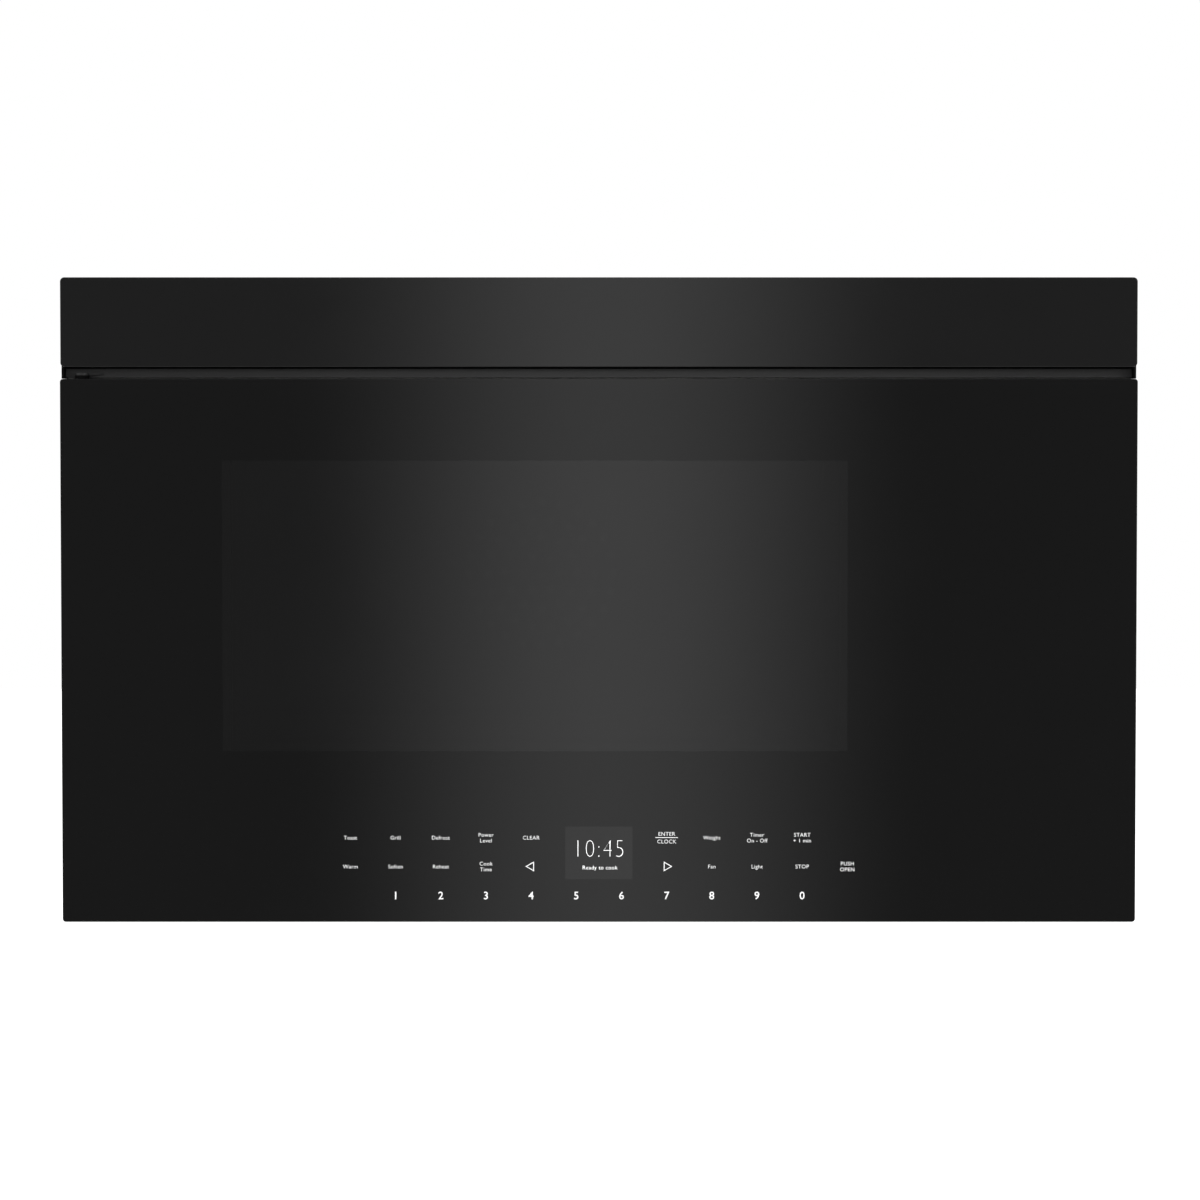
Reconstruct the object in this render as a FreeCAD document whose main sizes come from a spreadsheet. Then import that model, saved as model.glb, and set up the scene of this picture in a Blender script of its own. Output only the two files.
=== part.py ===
import FreeCAD, Part
import Sketcher
import os
import re

# Over the range microwave oven, in millimetres. +X is right as seen from the kitchen, +Y runs
# back into the wall, +Z is up. The origin is on the wall, at the middle of the lower edge of the
# wall plate, level with the underside of the cabinet.

doc = FreeCAD.newDocument("RangeMicrowave")
sheet = doc.addObject("Spreadsheet::Sheet", "Sizes")

SIZES = {
    # cabinet
    "overall_width": 760, "cabinet_height": 453, "cabinet_depth": 372, "cabinet_inset": 1.5,
    "sheet_wall": 1.0, "plate_thickness": 1.5, "plate_seat": 0.5, "plate_side_inset": 20,
    "plate_top_inset": 8, "stud_spacing": 406.4, "stud_low": 60, "stud_hole_radius": 3.5,
    "hook_width": 40, "hook_level": 20, "hook_reach": 5, "hook_rise": 12, "slot_clearance": 1.0,
    "exhaust_width": 254, "exhaust_depth": 82, "exhaust_centre": 75, "nut_radius": 3.175,
    "nut_height": 8, "nut_size": 34, "gland_y": 60, "gland_radius": 11,
    # door
    "door_drop": 3, "door_thickness": 26, "door_gap": 2, "glass_wall": 4, "door_corner": 2.2,
    "frame_inset": 1.5, "frame_floor": 2.5, "choke_depth": 11, "choke_border": 38,
    "choke_rise": 18, "choke_wall": 0.6, "inner_glass_wall": 3, "cover_wall": 1, "cover_lip": 6,
    "seat_gap": 0.3,
    # hinge
    "hinge_inset": 14.5, "hinge_setback": 10, "hinge_pin_radius": 3, "hinge_fit": 0.05,
    "hinge_pin_depth": 16, "knuckle_radius": 5, "knuckle_height": 2.4, "bracket_wall": 1.5,
    "bracket_width": 15, "bracket_leg": 30, "notch_height": 9,
    # vent panel and the strip under it
    "panel_gap": 8.5, "panel_setback": 3, "panel_wall": 2.5, "panel_corner": 3,
    "strip_setback": 15, "strip_clearance": 0.5, "charcoal_width": 300, "charcoal_height": 46,
    "charcoal_depth": 12,
    # oven cavity
    "cavity_centre": -45, "cavity_floor": 108, "cavity_wall": 1.0, "floor_seal_height": 9,
    "floor_seal_width": 8, "ceramic_wall": 5, "ceramic_clearance": 1.5,
    # rotating antenna and waveguide
    "antenna_radius": 95, "antenna_wall": 1.5, "antenna_lift": 3, "antenna_shaft_radius": 4,
    "antenna_port_radius": 9, "guide_height": 40, "guide_width": 92, "guide_wall": 1.2,
    "guide_overrun": 52, "antenna_motor_size": 50, "antenna_motor_height": 17,
    # magnetron
    "magnetron_width": 96, "magnetron_depth": 78, "magnetron_height": 84, "launcher_radius": 14,
    "magnetron_side": 4,
    # convection set behind the rear wall
    "convection_radius": 88, "pan_depth": 34, "pan_wall": 0.8, "ring_radius": 76,
    "heater_radius": 3.25, "fan_radius": 62, "fan_blades": 8, "fan_blade_wall": 1.2,
    "fan_width": 18, "grille_pitch": 14, "grille_hole": 3.2, "motor_radius": 26,
    "shaft_radius": 3, "shaft_fit": 0.08, "motor_length": 24,
    # grill element and side racks
    "grill_drop": 16, "grill_span": 170, "grill_pitch": 34, "rack_wire": 2, "rack_setback": 26,
    "rack_standoff": 5, "rack_step": 50, "rack_pair": 20,
    # ventilation blower
    "blower_radius": 34, "blower_wheel_length": 86, "blower_spread": 200, "blower_box": 88,
    "blower_box_height": 80, "blower_box_length": 100, "blower_clearance": 2, "blower_blades": 24,
    "blower_motor_radius": 32, "blower_motor_length": 84, "blower_wall": 1.5,
    # damper
    "damper_rim": 10, "damper_height": 12, "damper_pin": 2, "flap_wall": 1.2,
    "flap_clearance": 1.5,
    # bottom
    "filter_height": 8, "filter_lap": 6, "lamp_setback": 66, "lamp_radius": 28, "lens_wall": 3,
    # cooling fan
    "cooler_radius": 44, "cooler_box": 96, "cooler_depth": 26, "cooler_y": 92, "cooler_level": 92,
    "cooler_motor_radius": 18, "cooler_blades": 7,
    # electronics
    "board_wall": 1.6, "main_board_width": 150, "main_board_height": 120,
    "filter_board_width": 90, "filter_board_depth": 70, "inverter_width": 140,
    "inverter_depth": 110,
    # keys and display behind the glass
    "display_width": 49.5, "display_height": 37.5, "display_sill": 26.2, "display_depth": 8,
    "touch_width": 400, "touch_height": 64, "touch_sill": 7, "pocket_depth": 14,
    # latch
    "hook_low": 70, "latch_bar_width": 10, "latch_bar_depth": 6, "claw_reach": 34,
    "claw_height": 11, "claw_nose": 5, "claw_wall": 3, "claw_slack": 2, "latch_travel": 6,
    "latch_fit": 0.6, "latch_bar_setback": 8, "nose_length": 6, "catch_slack": 2.5,
    "catch_gap": 0.5, "latch_wall": 2, "latch_body_depth": 60, "switch_width": 20,
    "switch_height": 10, "switch_depth": 6, "button_radius": 1.2, "button_travel": 1.5,
    "button_rise": 2.5, "button_seat": 4, "button_fit": 0.08, "lever_wall": 4, "lever_pivot": 2.5,
    "lever_reach": 47, "lever_tail": 30, "lever_link": 22, "pad_length": 5, "solenoid_height": 35,
    "solenoid_size": 22, "plunger_radius": 4, "plunger_fit": 0.08, "stem_radius": 1.5,
    "stem_head": 5, "plunger_travel": 2.4,
    # small parts
    "screw_radius": 2, "screw_length": 8, "screw_head": 3.6, "cutout_radius": 9,
    "cutout_height": 7, "cutout_setback": 20, "cutout_pitch": 30, "wool_wall": 8,
}
# Sizes that follow from those
FOLLOWS = {
    "stud_rise": "cabinet_height - 173", "hook_spread": "overall_width - 360",
    "nut_spread": "overall_width - 160", "nut_setback": "cabinet_depth / 2 + 4",
    "gland_x": "overall_width / 2 - 90", "door_height": "cabinet_height - 68.6",
    "cavity_width": "overall_width - 326", "cavity_roof": "cabinet_height - 96",
    "cavity_length": "cabinet_depth - 79", "convection_level": "(cavity_floor + cavity_roof) / 2",
    "rack_length": "cavity_length - 57", "rack_low": "cavity_floor + 50",
    "blower_level": "cabinet_height - 52", "filter_spread": "overall_width - 430",
    "filter_width": "filter_spread - 42", "filter_depth": "cabinet_depth - 202",
    "filter_centre": "filter_depth / 2 + 105", "lamp_spread": "overall_width - 340",
    "cooler_x": "overall_width / 2 - 80", "latch_x": "overall_width / 2 - 35",
    "hook_high": "cabinet_height - 135",
}
for row, (alias, size) in enumerate(SIZES.items(), start=1):
    sheet.set(f"A{row}", alias.replace("_", " "))
    sheet.set(f"B{row}", str(size))
    sheet.setAlias(f"B{row}", alias)
doc.recompute()


def bound(text):
    """An expression in the sheet's names, as the document writes it."""
    def cell(word):
        name = word[0]
        if name in FOLLOWS:
            return f"({bound(FOLLOWS[name])})"
        return "Sizes." + name if name in SIZES else name
    return re.sub(r"[a-z]+(?:_[a-z]+)*", cell, str(text))


def mm(text):
    """The value of such an expression now."""
    return float(sheet.evalExpression(bound(text)))


def place(item, x, y, z):
    """Bind where an object stands."""
    for letter, text in zip("xyz", (x, y, z)):
        item.setExpression("Placement.Base." + letter, bound(text))
    return item


def box(x0, x1, y0, y1, z0, z1):
    """A block between two corners."""
    item = doc.addObject("Part::Box", "Block")
    item.setExpression("Length", bound(f"({x1}) - ({x0})"))
    item.setExpression("Width", bound(f"({y1}) - ({y0})"))
    item.setExpression("Height", bound(f"({z1}) - ({z0})"))
    return place(item, x0, y0, z0)


TURNS = {
    "z": FreeCAD.Rotation(),
    "x": FreeCAD.Rotation(FreeCAD.Vector(0, 1, 0), 90),
    "y": FreeCAD.Rotation(FreeCAD.Vector(1, 0, 0), -90),
}


def rod(axis, x, y, z, radius, length):
    """A round bar from a point, running along +axis."""
    item = doc.addObject("Part::Cylinder", "Round")
    item.Placement = FreeCAD.Placement(FreeCAD.Vector(), TURNS[axis])
    item.setExpression("Radius", bound(radius))
    item.setExpression("Height", bound(length))
    return place(item, x, y, z)


def fused(*items):
    item = doc.addObject("Part::MultiFuse", "Joined")
    item.Shapes = list(items)
    return item


def cut(base, *tools):
    item = doc.addObject("Part::Cut", "Trimmed")
    item.Base = base
    item.Tool = tools[0] if len(tools) == 1 else fused(*tools)
    return item


def group(*items):
    """Separate solids that make one node."""
    item = doc.addObject("Part::Compound", "Set")
    item.Links = list(items)
    return item


def rounded(axis, radius, item):
    """The same block with its edges along one axis rounded."""
    doc.recompute()
    edges = []
    for number, edge in enumerate(item.Shape.Edges, start=1):
        along = (edge.Vertexes[-1].Point - edge.Vertexes[0].Point).normalize()
        if abs(getattr(along, axis)) > 0.999:
            edges.append((number, mm(radius), mm(radius)))
    soft = doc.addObject("Part::Fillet", "Rounded")
    soft.Base = item
    soft.Edges = edges
    return soft


NODES = []


def node(label, item):
    """Name a finished piece."""
    item.Label = label
    NODES.append(item)
    return item


def feature(label, build):
    """A piece whose shape is worked out in code from the sheet."""
    item = doc.addObject("Part::Feature", label)
    item.Shape = build
    return node(label, item)


# Planes that the pieces share
side = "(overall_width / 2 - cabinet_inset)"
face = "(-cabinet_depth)"
back = "(-(plate_thickness + plate_seat))"
rear = f"({back} - sheet_wall)"
door_back = f"({face} - door_gap)"
door_front = f"({door_back} - door_thickness)"
door_foot = "(-door_drop)"
door_top = "(door_height - door_drop)"
panel_foot = f"({door_top} + panel_gap)"
cavity_left = "(cavity_centre - cavity_width / 2)"
cavity_right = "(cavity_centre + cavity_width / 2)"
cavity_mouth = f"({face} + sheet_wall)"
cavity_rear = f"({cavity_mouth} + cavity_length)"
exhaust_y = "(-exhaust_centre)"
pin_x = "(-overall_width / 2 + hinge_inset)"
pin_y = f"({door_front} + hinge_setback)"
knuckle_foot = f"({door_top} + seat_gap)"
upper_arm = f"({knuckle_foot} + knuckle_height)"
lower_arm = "sheet_wall"
screw_x = f"({pin_x} + bracket_width / 2)"
screw_levels = [f"({arm} + {share} * bracket_leg)" for arm in (lower_arm, upper_arm)
                for share in (0.45, 0.8)]


def exhaust_way(z0, z1, margin="0"):
    """The straight duct up through the cabinet's top."""
    return box(f"-exhaust_width / 2 - ({margin})", f"exhaust_width / 2 + ({margin})",
               f"{exhaust_y} - exhaust_depth / 2 - ({margin})",
               f"{exhaust_y} + exhaust_depth / 2 + ({margin})", z0, z1)


# Wall plate: a steel sheet screwed to the studs, with two hooks that carry the cabinet's rear edge
hooks = []
for way in (-1, 1):
    middle = f"{way} * hook_spread / 2"
    ends = (f"{middle} - hook_width / 2", f"{middle} + hook_width / 2")
    tip = "-(plate_thickness + hook_reach)"
    hooks.append(box(*ends, tip, "-plate_thickness", "hook_level", "hook_level + plate_thickness"))
    hooks.append(box(*ends, tip, f"{tip} + plate_thickness", "hook_level",
                     "hook_level + hook_rise"))
stud_holes = [rod("y", f"{way} * stud_spacing / 2", "-2 * plate_thickness", level,
                  "stud_hole_radius", "4 * plate_thickness")
              for way in (-1, 1) for level in ("stud_low", "stud_low + stud_rise")]
plate = box("-overall_width / 2 + plate_side_inset", "overall_width / 2 - plate_side_inset",
            "-plate_thickness", "0", "0", "cabinet_height - plate_top_inset")
node("wall_mounting_plate",
     fused(cut(plate, *stud_holes), *hooks))

# Back panel, slotted where the wall plate's hooks come through
slots = [box(f"{way} * hook_spread / 2 - hook_width / 2 - slot_clearance",
             f"{way} * hook_spread / 2 + hook_width / 2 + slot_clearance",
             f"{rear} - sheet_wall", f"{back} + sheet_wall", "hook_level - slot_clearance",
             "hook_level + hook_rise + slot_clearance") for way in (-1, 1)]
node("back_panel",
     cut(box(f"-{side} + sheet_wall", f"{side} - sheet_wall", rear, back,
             "sheet_wall", "cabinet_height - sheet_wall"), *slots))

# Cabinet shell: two side sheets with the top sheet riveted between them
nut_y = "(-nut_setback)"
sides = [box(f"-{side}", f"-{side} + sheet_wall", face, back, "0", "cabinet_height"),
         box(f"{side} - sheet_wall", side, face, back, "0", "cabinet_height")]
top_sheet = box(f"-{side} + sheet_wall", f"{side} - sheet_wall", face, back,
                "cabinet_height - sheet_wall", "cabinet_height")
bolt_ways = [rod("z", f"{way} * nut_spread / 2", nut_y, "cabinet_height - 3 * sheet_wall",
                 "nut_radius", "5 * sheet_wall") for way in (-1, 1)]
gland_way = rod("z", "gland_x", "-gland_y", "cabinet_height - 3 * sheet_wall", "gland_radius",
                "5 * sheet_wall")
top_sheet = cut(top_sheet, exhaust_way("cabinet_height - 3 * sheet_wall",
                                       "cabinet_height + 3 * sheet_wall"),
                gland_way, *bolt_ways)
node("cabinet_shell", group(*sides, top_sheet))

# Threaded plates under the top: bolts come down from the cupboard above into these
nuts = []
for way in (-1, 1):
    x = f"{way} * nut_spread / 2"
    foot = "cabinet_height - sheet_wall - nut_height"
    nuts.append(cut(box(f"{x} - nut_size / 2", f"{x} + nut_size / 2", f"{nut_y} - nut_size / 2",
                        f"{nut_y} + nut_size / 2", foot, "cabinet_height - sheet_wall"),
                    rod("z", x, nut_y, f"{foot} - 2", "nut_radius", "nut_height + 4")))
node("top_nut_plates", group(*nuts))

# Bottom pan with the openings for two grease filters and two cooktop lamps
filter_y = "(-filter_centre)"
lamp_y = f"({face} + lamp_setback)"


def filter_block(way, margin, z0, z1):
    x = f"{way} * filter_spread / 2"
    return box(f"{x} - filter_width / 2 - ({margin})", f"{x} + filter_width / 2 + ({margin})",
               f"{filter_y} - filter_depth / 2 - ({margin})",
               f"{filter_y} + filter_depth / 2 + ({margin})", z0, z1)


def lamp_round(way, margin, z, length):
    return rod("z", f"{way} * lamp_spread / 2", lamp_y, z, f"lamp_radius + ({margin})", length)


node("bottom_pan",
     cut(box(f"-{side} + sheet_wall", f"{side} - sheet_wall", face, rear, "0", "sheet_wall"),
         *[filter_block(way, "-filter_lap", "-sheet_wall", "2 * sheet_wall") for way in (-1, 1)],
         *[lamp_round(way, "-lens_wall", "-sheet_wall", "3 * sheet_wall") for way in (-1, 1)]))

# Grease filters lie on the pan over their openings: a frame round a pack of mesh
filters = []
for way in (-1, 1):
    rim = "3 * sheet_wall"
    top = "sheet_wall + filter_height"
    frame = cut(filter_block(way, "0", "sheet_wall", top),
                filter_block(way, f"-({rim})", "0", f"{top} + 1"))
    ribs = [box(f"{way} * filter_spread / 2 - filter_width / 2 + 1",
                f"{way} * filter_spread / 2 + filter_width / 2 - 1",
                f"{filter_y} + ({step}) * filter_depth / 5 - sheet_wall",
                f"{filter_y} + ({step}) * filter_depth / 5 + sheet_wall", "sheet_wall", top)
            for step in (-1.5, -0.5, 0.5, 1.5)]
    mesh = filter_block(way, "-1", "3 * sheet_wall", "sheet_wall + filter_height - 2")
    filters.append(fused(frame, mesh, *ribs))
node("grease_filters", group(*filters))

# Cooktop lamps: a lens in each round opening and a lamp housing over it
node("cooktop_lamp_lenses",
     group(*[rod("z", f"{way} * lamp_spread / 2", lamp_y, "sheet_wall", "lamp_radius", "lens_wall")
             for way in (-1, 1)]))
node("cooktop_lamps",
     group(*[fused(rod("z", f"{way} * lamp_spread / 2", lamp_y, "sheet_wall + lens_wall",
                       "lamp_radius - 2", "4 * lens_wall"),
                   rod("z", f"{way} * lamp_spread / 2", lamp_y, "sheet_wall + 5 * lens_wall",
                       "lamp_radius - 9", "3 * lens_wall")) for way in (-1, 1)]))

# Front of the cabinet: a face plate with the oven's mouth, the latch slots and the filter's opening
charcoal_foot = f"({panel_foot} + (cabinet_height - {panel_foot} - charcoal_height) / 2)"


def claw_levels():
    return ("hook_low", "hook_high")


def mouth(y0, y1, margin="0"):
    return box(f"{cavity_left} - ({margin})", f"{cavity_right} + ({margin})", y0, y1,
               f"cavity_floor - ({margin})", f"cavity_roof + ({margin})")


plate_cuts = [mouth(f"{face} - 1", f"{cavity_mouth} + 1")]
plate_cuts.append(box("-charcoal_width / 2 + 6", "charcoal_width / 2 - 6", f"{face} - 1",
                      f"{cavity_mouth} + 1", f"{charcoal_foot} + 6",
                      f"{charcoal_foot} + charcoal_height - 6"))
for level in claw_levels():
    plate_cuts.append(box("latch_x - claw_wall / 2 - claw_slack", "latch_x + claw_wall / 2 + claw_slack",
                          f"{face} - 1", f"{cavity_mouth} + 1",
                          f"{level} - latch_travel - claw_slack / 2",
                          f"{level} + claw_height + claw_slack"))
plate_cuts += [rod("y", screw_x, f"{face} - 1", z, "screw_radius", "sheet_wall + 2")
               for z in screw_levels]
node("front_face_plate",
     cut(box(f"-{side} + sheet_wall", f"{side} - sheet_wall", face, cavity_mouth,
             "sheet_wall", "cabinet_height - sheet_wall"), *plate_cuts))

# Oven cavity: five welded walls, with the fan's grille in the rear one
shell = cut(mouth(cavity_mouth, f"{cavity_rear} + cavity_wall", "cavity_wall"),
            mouth(f"{cavity_mouth} - 1", cavity_rear))
antenna_y = f"({cavity_mouth} + cavity_length / 2)"
cavity_cuts = [rod("z", "cavity_centre", antenna_y, "cavity_floor - 2 * cavity_wall",
                   "antenna_port_radius", "3 * cavity_wall")]
rings = int(mm("fan_radius") // mm("grille_pitch"))
for ring in range(rings + 1):
    holes = max(1, 6 * ring)
    for k in range(holes):
        turn = 360 * k / holes
        cavity_cuts.append(rod("y", f"cavity_centre + {ring} * grille_pitch * cos({turn})",
                               f"{cavity_rear} - 1",
                               f"convection_level + {ring} * grille_pitch * sin({turn})",
                               "grille_hole", "cavity_wall + 2"))
lamp_hole = rod("x", f"{cavity_right} - 1", f"{cavity_rear} - 60", "cavity_roof - 40",
                "lamp_radius / 2", "cavity_wall + 2")
node("oven_cavity", cut(shell, lamp_hole, *cavity_cuts))

# Floor of the oven: a silicone seal carries the ceramic plate
seal_top = "(cavity_floor + floor_seal_height)"


def floor_block(margin, z0, z1):
    return box(f"{cavity_left} + ({margin})", f"{cavity_right} - ({margin})",
               f"{cavity_mouth} + ({margin}) + 4", f"{cavity_rear} - ({margin})", z0, z1)


node("ceramic_floor_seal",
     cut(floor_block("ceramic_clearance", "cavity_floor", seal_top),
         floor_block("floor_seal_width", "cavity_floor - 1", f"{seal_top} + 1")))
node("ceramic_floor_plate",
     rounded("z", "floor_seal_width",
             floor_block("ceramic_clearance", seal_top, f"{seal_top} + ceramic_wall")))

# Waveguide under the floor: a rectangular tube from the magnetron to the antenna
guide_top = "(cavity_floor - cavity_wall)"
guide_foot = f"({guide_top} - guide_height)"
guide_left = "(cavity_centre - guide_overrun)"
magnetron_x = f"({cavity_right} + cavity_wall + magnetron_side + magnetron_width / 2)"
guide_right = f"({magnetron_x} + launcher_radius + guide_overrun / 3)"


def guide_block(margin, top="0"):
    return box(f"{guide_left} + ({margin})", f"{guide_right} - ({margin})",
               f"{antenna_y} - guide_width / 2 + ({margin})",
               f"{antenna_y} + guide_width / 2 - ({margin})",
               f"{guide_foot} + ({margin})", f"{guide_top} - ({margin})")


node("waveguide",
     cut(guide_block("0"), guide_block("guide_wall"),
         rod("z", "cavity_centre", antenna_y, f"{guide_foot} - 1", "antenna_port_radius",
             "guide_height + 2"),
         rod("z", magnetron_x, antenna_y, f"{guide_top} - guide_wall - 1", "launcher_radius + 1",
             "guide_wall + 2")))

# Rotating antenna: a slotted vane on a shaft that runs down through the waveguide to its motor
vane_foot = "(cavity_floor + antenna_lift)"
vane = rod("z", "cavity_centre", antenna_y, vane_foot, "antenna_radius", "antenna_wall")
slits = []
for k in range(3):
    slit = doc.addObject("Part::Box", "Slit")
    slit.setExpression("Length", bound("antenna_radius * 0.45"))
    slit.setExpression("Width", bound("antenna_radius * 0.16"))
    slit.setExpression("Height", bound("3 * antenna_wall"))
    angle = 30 + 120 * k
    slit.Placement = FreeCAD.Placement(FreeCAD.Vector(),
                                       FreeCAD.Rotation(FreeCAD.Vector(0, 0, 1), angle))
    place(slit, f"cavity_centre + antenna_radius * 0.4 * cos({angle})",
          f"{antenna_y} + antenna_radius * 0.4 * sin({angle})", f"{vane_foot} - antenna_wall")
    slits.append(slit)
motor_top = f"({guide_foot})"
node("antenna_rotor",
     fused(cut(vane, *slits),
           rod("z", "cavity_centre", antenna_y, f"{motor_top} - 8", "antenna_shaft_radius",
               f"{vane_foot} - {motor_top} + 8")))
motor_case = box("cavity_centre - antenna_motor_size / 2", "cavity_centre + antenna_motor_size / 2",
                 f"{antenna_y} - antenna_motor_size / 2", f"{antenna_y} + antenna_motor_size / 2",
                 f"{motor_top} - antenna_motor_height", motor_top)
node("antenna_motor",
     cut(rounded("z", "floor_seal_width", motor_case),
         rod("z", "cavity_centre", antenna_y, f"{motor_top} - 8 - seat_gap",
             "antenna_shaft_radius + shaft_fit", "12")))

# Magnetron: its yoke, the finned anode inside it and the launcher down in the waveguide
yoke_foot = guide_top
yoke_top = f"({yoke_foot} + magnetron_height)"
yoke_wall = "(2 * sheet_wall)"


def yoke_block(margin_x, margin_y, margin_z):
    return box(f"{magnetron_x} - magnetron_width / 2 + {margin_x}",
               f"{magnetron_x} + magnetron_width / 2 - {margin_x}",
               f"{antenna_y} - magnetron_depth / 2 + ({margin_y})",
               f"{antenna_y} + magnetron_depth / 2 - ({margin_y})",
               f"{yoke_foot} + {margin_z}", f"{yoke_top} - {margin_z}")


node("magnetron_yoke",
     cut(yoke_block("0", "0", "0"), yoke_block(yoke_wall, "-1", yoke_wall),
         rod("z", magnetron_x, antenna_y, f"{yoke_foot} - 1", "launcher_radius + 0.5", "6")))
fin_gap = "(magnetron_height - 34) / 6"
fins = [box(f"{magnetron_x} - magnetron_width / 2 + 3", f"{magnetron_x} + magnetron_width / 2 - 3",
            f"{antenna_y} - magnetron_depth / 2 + 5", f"{antenna_y} + magnetron_depth / 2 - 5",
            f"{yoke_foot} + 17 + {k} * {fin_gap}", f"{yoke_foot} + 18 + {k} * {fin_gap}")
        for k in range(7)]
node("magnetron_anode",
     fused(rod("z", magnetron_x, antenna_y, f"{yoke_foot} - 22", "launcher_radius", "24"),
           rod("z", magnetron_x, antenna_y, f"{yoke_foot} + 2", "launcher_radius + 5",
               "magnetron_height - 4"), *fins))

# Convection set: fan, ring heater and motor in a shallow pan behind the rear wall
pan_front = f"({cavity_rear} + cavity_wall)"
pan_back = f"({pan_front} + pan_depth)"
axis_z = "convection_level"
node("convection_pan",
     cut(rod("y", "cavity_centre", pan_front, axis_z, "convection_radius", "pan_depth"),
         rod("y", "cavity_centre", f"{pan_front} - 1", axis_z, "convection_radius - pan_wall",
             "pan_depth - pan_wall + 1"),
         rod("y", "cavity_centre", f"{pan_back} - 5", axis_z, "shaft_radius + 1", "10")))
heater = doc.addObject("Part::Torus", "Ring")
heater.Placement = FreeCAD.Placement(FreeCAD.Vector(), TURNS["y"])
heater.setExpression("Radius1", bound("ring_radius"))
heater.setExpression("Radius2", bound("heater_radius"))
place(heater, "cavity_centre", f"{pan_front} + pan_depth / 2", axis_z)
heater_leads = [rod("y", f"cavity_centre + {way} * 12", f"{pan_front} + pan_depth / 2",
                    f"{axis_z} - sqrt(ring_radius ^ 2 - 12 ^ 2)", "0.8 * heater_radius",
                    "pan_depth / 2 - pan_wall") for way in (-1, 1)]
node("convection_heater", fused(heater, *heater_leads))
fan_back = f"({pan_back} - pan_wall - 4)"
fan_parts = [rod("y", "cavity_centre", fan_back, axis_z, "fan_radius", "fan_blade_wall")]
fan_parts.append(rod("y", "cavity_centre", f"{fan_back} - 6", axis_z, "shaft_radius + 5", "6.5"))
fan_parts.append(rod("y", "cavity_centre", f"{fan_back} - 6", axis_z, "shaft_radius",
                     f"{pan_back} - {fan_back} + 14"))
for k in range(round(mm("fan_blades"))):
    angle = 360 * k / mm("fan_blades")
    blade = doc.addObject("Part::Box", "Blade")
    blade.setExpression("Length", bound("fan_radius * 0.55"))
    blade.setExpression("Width", bound("fan_width"))
    blade.setExpression("Height", bound("fan_blade_wall"))
    blade.Placement = FreeCAD.Placement(FreeCAD.Vector(),
                                        FreeCAD.Rotation(FreeCAD.Vector(0, 1, 0), -angle))
    place(blade, f"cavity_centre + fan_radius * 0.4 * cos({angle})", f"{fan_back} - fan_width",
          f"{axis_z} + fan_radius * 0.4 * sin({angle})")
    fan_parts.append(blade)
node("convection_fan", fused(*fan_parts))
node("convection_motor",
     cut(fused(rod("y", "cavity_centre", pan_back, axis_z, "motor_radius", "motor_length"),
               box("cavity_centre - motor_radius - 10", "cavity_centre + motor_radius + 10",
                   f"{pan_back} + 2", f"{pan_back} + 2 + 2 * pan_wall",
                   f"{axis_z} - 8", f"{axis_z} + 8")),
         rod("y", "cavity_centre", f"{pan_back} - 1", axis_z, "shaft_radius + shaft_fit",
             "15 + seat_gap")))

# Grill element: one tube in flat bends under the roof, its ends out through the rear wall
def grill_tube():
    count, radius = 4, mm("grill_pitch") / 2
    z, tube = mm("cavity_roof - grill_drop"), mm("heater_radius")
    x0 = mm("cavity_centre - 1.5 * grill_pitch")
    y_out, y_in = mm(f"{cavity_rear}"), mm(f"{cavity_rear} - 60 - grill_span")
    y_turn = mm(f"{cavity_rear} - 60")
    point = FreeCAD.Vector
    edges = []
    for k in range(count):
        x = x0 + 2 * radius * k
        far = y_out if k in (0, count - 1) else y_turn
        ends = (point(x, far, z), point(x, y_in, z))
        start, stop = ends if k % 2 == 0 else ends[::-1]
        edges.append(Part.LineSegment(start, stop).toShape())
        if k < count - 1:
            way = -1 if k % 2 == 0 else 1
            middle = point(x + radius, stop.y + way * radius, z)
            edges.append(Part.Arc(stop, middle, point(x + 2 * radius, stop.y, z)).toShape())
    path = Part.Wire(edges)
    ring = Part.Wire([Part.Circle(point(x0, y_out, z), point(0, 1, 0), tube).toShape()])
    return path.makePipeShell([ring], True, False)


feature("grill_element", grill_tube())
node("grill_element_clips",
     group(*[box("cavity_centre - 2 * grill_pitch", "cavity_centre + 2 * grill_pitch",
                 f"{cavity_rear} - 90 - {step} * grill_span / 2", f"{cavity_rear} - 84 - {step} * grill_span / 2",
                 "cavity_roof - grill_drop + heater_radius", "cavity_roof") for step in (0, 1)]))

# Side racks: a welded wire frame on each side wall, with two pairs of rails
def rack(way):
    wall = cavity_left if way > 0 else cavity_right
    post_x = f"{wall} + {way} * (rack_standoff + rack_wire)"
    rail_x = f"{wall} + {way} * (rack_standoff + 2.6 * rack_wire)"
    y0 = f"({cavity_mouth} + rack_setback)"
    wires = []
    for pair in range(2):
        for rail in range(2):
            level = f"rack_low + {pair} * rack_step + {rail} * rack_pair"
            wires.append(rod("y", rail_x, y0, level, "rack_wire", "rack_length"))
    for share in (0.08, 0.5, 0.92):
        y = f"{y0} + {share} * rack_length"
        wires.append(rod("z", post_x, y, "rack_low - 8", "rack_wire",
                         "rack_step + rack_pair + 16"))
    for share in (0.08, 0.92):
        y = f"{y0} + {share} * rack_length"
        start = wall if way > 0 else f"{wall} - rack_standoff - rack_wire"
        for level in ("rack_low + 6", "rack_low + rack_step + rack_pair - 6"):
            wires.append(rod("x", start, y, level, "rack_wire * 0.8", "rack_standoff + rack_wire"))
    return fused(*wires)


node("side_racks", group(rack(1), rack(-1)))

# Ventilation blower: two cage wheels on one shaft, a motor between them, a scroll box round each
blower_y = exhaust_y
blower_top = "(cabinet_height - sheet_wall - damper_height)"


def blower_middle(way):
    return f"({way} * blower_spread / 2)"


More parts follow.
